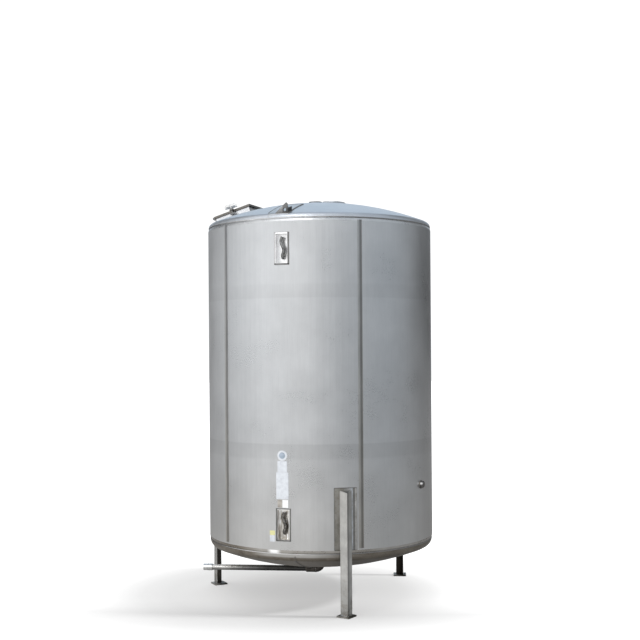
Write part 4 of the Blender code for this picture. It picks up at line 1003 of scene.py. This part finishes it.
def screw_ring_tree():
    """Hexagon screws with washers, standing evenly round a circle."""
    group, given = node_group("screw_ring", "GeometryNodeTree", [
        ("Geometry", "Geometry"), ("Count", "Int", 8), ("Circle Radius", "Float", 0.077),
        ("Head Radius", "Float", 0.0045), ("Head Height", "Float", 0.003),
        ("Washer Radius", "Float", 0.0055), ("Washer Height", "Float", 0.001),
        ("Screw Metal", "Material")], [("Geometry", "Geometry")])
    circle_line = add_node(group, "GeometryNodeMeshCircle", {
        "Vertices": given["Count"], "Radius": given["Circle Radius"]}).outputs[0]
    both = group.nodes.new("GeometryNodeJoinGeometry")
    head_lift = add_maths(group, "MULTIPLY_ADD", given["Head Height"], 0.5, given["Washer Height"])
    washer_lift = add_maths(group, "MULTIPLY", given["Washer Height"], 0.5)
    for label, corners, lift in (("Head", 6, head_lift), ("Washer", 16, washer_lift)):
        disc = add_node(group, "GeometryNodeMeshCylinder", {
            "Vertices": corners, "Radius": given[label + " Radius"], "Depth": given[label + " Height"]})
        raised = add_node(group, "GeometryNodeTransform", {
            "Geometry": disc.outputs[0],
            "Translation": add_node(group, "ShaderNodeCombineXYZ", {2: lift}).outputs[0]})
        group.links.new(raised.outputs[0], both.inputs[0])
    turned = add_node(group, "FunctionNodeRandomValue", {
        2: 0.0, 3: 1.0, "Seed": 5}, data_type="FLOAT").outputs[1]
    screws = add_node(group, "GeometryNodeInstanceOnPoints", {
        "Points": circle_line, "Instance": both.outputs[0], "Rotation": about_z(group, turned)}).outputs[0]
    real = add_node(group, "GeometryNodeRealizeInstances", {"Geometry": screws}).outputs[0]
    return give_coated(group, real, given["Screw Metal"])


SCREW_SEAT = 0.0168
screw_metal = steel_finish("screw_metal", 0.30, (0.56, 0.56, 0.55), 0.42, 0.26, patch=60.0, grain=500.0)
screw_mesh = grown_mesh(bpy.data.meshes.new("port_screws"), screw_ring_tree(), count=8, circle_radius=0.0770,
                        head_radius=0.0046, head_height=0.003, washer_radius=0.0056,
                        washer_height=0.001, screw_metal=finish_surface(screw_metal))
screw_mesh.transform(port_place @ Matrix.Translation((0, 0, SCREW_SEAT)) @ Matrix.Rotation(math.pi, 4, "X"))
add_piece("port_screws", screw_mesh)

# Manway
# The rectangular hatch on the dome: a welded stainless neck, a pressed lid on a hinge along
# its low side, a rubber seal, and two captive clamp screws with star knobs.
HATCH_AZIMUTH = -110.0
HATCH_DISTANCE = 0.612
HATCH_TOP_Z = 2.752
HATCH_TILT = 16.5
NECK_HALF = (0.135, 0.170)
SKIRT_EDGES = (0.0065, 0.0092)
STEM_EDGES = (0.014, 0.022)
CROWN_CENTRE_Z = 0.6845
hatch_place = (wall_place(HATCH_AZIMUTH) @ Matrix.Translation((HATCH_DISTANCE, 0, HATCH_TOP_Z))
               @ Matrix.Rotation(math.radians(HATCH_TILT), 4, "Y"))
LID_UP = hatch_place.to_3x3() @ Vector((0, 0, 1))
LID_ZERO = hatch_place.translation.dot(LID_UP)


def lid_share(parts, low, high):
    """0 at one height over the neck's top, square to the lid, and 1 at another."""
    level = add_node(parts["tree"], "ShaderNodeVectorMath", {
        0: parts["place"], 1: tuple(LID_UP)}, operation="DOT_PRODUCT").outputs["Value"]
    return add_share(parts["tree"], level, LID_ZERO + low, LID_ZERO + high)


neck = steel_finish("hatch_neck_steel", (0.66, 0.67, 0.69), (0.84, 0.85, 0.87), 0.34, 0.22,
                    patch=10.0, grain=400.0, stretch=(1.0, 1.0, 0.03))
dress(finish_surface(neck), "manway_neck")
lid = steel_finish("hatch_lid_steel", 0.44, 0.62, 0.40, 0.26,
                   patch=10.0, grain=400.0, stretch=(1.0, 0.03, 1.0))
shade_along(lid, lid_share(lid, *SKIRT_EDGES), [
    (0.0, (0.36, 0.34, 0.31)), (0.5, (0.50, 0.48, 0.45)), (1.0, 1.0)])
dress(finish_surface(lid), "manway_lid")
hinge = steel_finish("hinge_steel", 0.12, 0.34, 0.46, 0.28, patch=40.0, grain=400.0)
dress(finish_surface(hinge), "hinge_bracket_near", "hinge_bracket_far", "clamp_lug_near", "clamp_lug_far")
knob = steel_finish("knob_steel", 0.66, (0.90, 0.90, 0.89), 0.26, 0.12, patch=40.0, grain=400.0)
stem_share = lid_share(knob, *STEM_EDGES)
shade_along(knob, stem_share, [(0.0, 0.30), (1.0, 1.0)])
dress(finish_surface(knob, add_maths(knob["tree"], "MULTIPLY_ADD", stem_share, -0.8, 1.0)),
      "clamp_screw_near", "clamp_screw_far")
rubber = soft_finish("seal_rubber", 160.0, 5.0, [(0.35, 0.035), (0.7, (0.11, 0.11, 0.105))],
                     (0.6, 0.9), 0.0002)
dress(finish_surface(rubber, 0.0), "lid_gasket")


def drop_on_dome(place, side_u, side_v):
    """Where a line down a piece's own z meets the dome's outer face."""
    start = place @ Vector((side_u, side_v, 0))
    down = -(place.to_3x3() @ Vector((0, 0, 1)))
    away = start - Vector((AXIS_X, AXIS_Y, CROWN_CENTRE_Z))
    half = away.dot(down)
    return start + down * (-half - math.sqrt(half ** 2 - away.length_squared + CROWN_RADIUS ** 2))


neck_line = [drop_on_dome(hatch_place, *corner) for corner in stepped_round(*NECK_HALF, 16)]
lay_weld("hatch_neck_weld", [neck_line], WELD_BRIGHT, radius=0.0032, closed=True)

# Blank labels
# Eight plain stickers low on the front sheet, above and beside the lower recess. They carry
# no words or marks: plastic film in one colour each, a little worn, not quite flat.
LABEL_AZIMUTH = -18.4
SIDE_LABEL_AZIMUTH = -23.6
LABEL_LIFT = 0.0006
UPPER_LABEL_LIFT = 0.0012
LABEL_THICKNESS = 0.0004
ROUND_LABEL_Z = 1.049


def film_finish(name, shade, worn):
    """Plastic film in one plain colour, slightly scuffed and wrinkled."""
    film = soft_finish(name, 45.0, 5.0, [(0.34, worn), (0.62, shade)], (0.62, 0.38), 0.0006)
    film["height"] = add_noise(film["tree"], film["place"], 25.0, 2.0)
    return finish_surface(film, 0.0)


FILM_WHITE = film_finish("film_white", (0.63, 0.66, 0.70), (0.54, 0.565, 0.605))
FILM_BRIGHT = film_finish("film_bright", (0.86, 0.87, 0.87), (0.76, 0.77, 0.77))
FILM_BLUE = film_finish("film_blue", (0.34, 0.40, 0.48), (0.24, 0.29, 0.35))
FILM_BROWN = film_finish("film_brown", (0.40, 0.375, 0.34), (0.28, 0.26, 0.235))
FILM_YELLOW = film_finish("film_yellow", (0.72, 0.71, 0.34), (0.62, 0.60, 0.32))


def wall_sticker(name, azimuth, outline, material, lift=LABEL_LIFT):
    """A thin film laid on the wall, its outline in metres along the wall and above the ground."""
    bm = bmesh.new()
    place = wall_place(azimuth)
    centre = [sum(values) / len(outline) for values in zip(*outline)]
    layers = []
    for face_lift in (lift, lift + LABEL_THICKNESS):
        ring = [bm.verts.new(wall_point(place, side, height, face_lift)) for side, height in outline]
        middle = bm.verts.new(wall_point(place, *centre, face_lift))
        for first, second in zip(ring, ring[1:] + ring[:1]):
            bm.faces.new((middle, first, second))
        layers.append(ring)
    low, high = layers
    for k in range(len(low)):
        nxt = (k + 1) % len(low)
        bm.faces.new((low[k], low[nxt], high[nxt], high[k]))
    bmesh.ops.recalc_face_normals(bm, faces=bm.faces)
    mesh = kept_mesh(name, bm)
    mesh.materials.append(material)
    add_piece(name, mesh)


def round_outline(radius, height, steps=40):
    return [(radius * math.cos(math.tau * k / steps), height + radius * math.sin(math.tau * k / steps))
            for k in range(steps)]


def square_outline(left, right, low, high, corner=0.004, steps=5):
    """A rectangle with small round corners."""
    points = []
    for middle_side, middle_up, start in (
            (right - corner, low + corner, -90), (right - corner, high - corner, 0),
            (left + corner, high - corner, 90), (left + corner, low + corner, 180)):
        for step in range(steps + 1):
            angle = math.radians(start + 90 * step / steps)
            points.append((middle_side + corner * math.cos(angle), middle_up + corner * math.sin(angle)))
    return points


wall_sticker("label_round", LABEL_AZIMUTH, round_outline(0.034, ROUND_LABEL_Z), FILM_WHITE)
wall_sticker("label_round_centre", LABEL_AZIMUTH, round_outline(0.021, ROUND_LABEL_Z), FILM_BLUE,
             lift=UPPER_LABEL_LIFT)
for label, azimuth, edges, film in (
        ("small_plate", LABEL_AZIMUTH, (-0.033, 0.033, 0.941, 1.0135), FILM_WHITE),
        ("long_plate", LABEL_AZIMUTH, (-0.0425, 0.0425, 0.764, 0.940), FILM_WHITE),
        ("low_left", LABEL_AZIMUTH, (-0.034, -0.002, 0.709, 0.760), FILM_BROWN),
        ("low_right", LABEL_AZIMUTH, (0.000, 0.040, 0.709, 0.760), FILM_BRIGHT),
        ("side_upper", SIDE_LABEL_AZIMUTH, (-0.019, 0.019, 0.5262, 0.5557), FILM_YELLOW),
        ("side_lower", SIDE_LABEL_AZIMUTH, (-0.019, 0.019, 0.4835, 0.5257), FILM_WHITE)):
    wall_sticker("label_" + label, azimuth, square_outline(*edges), film)
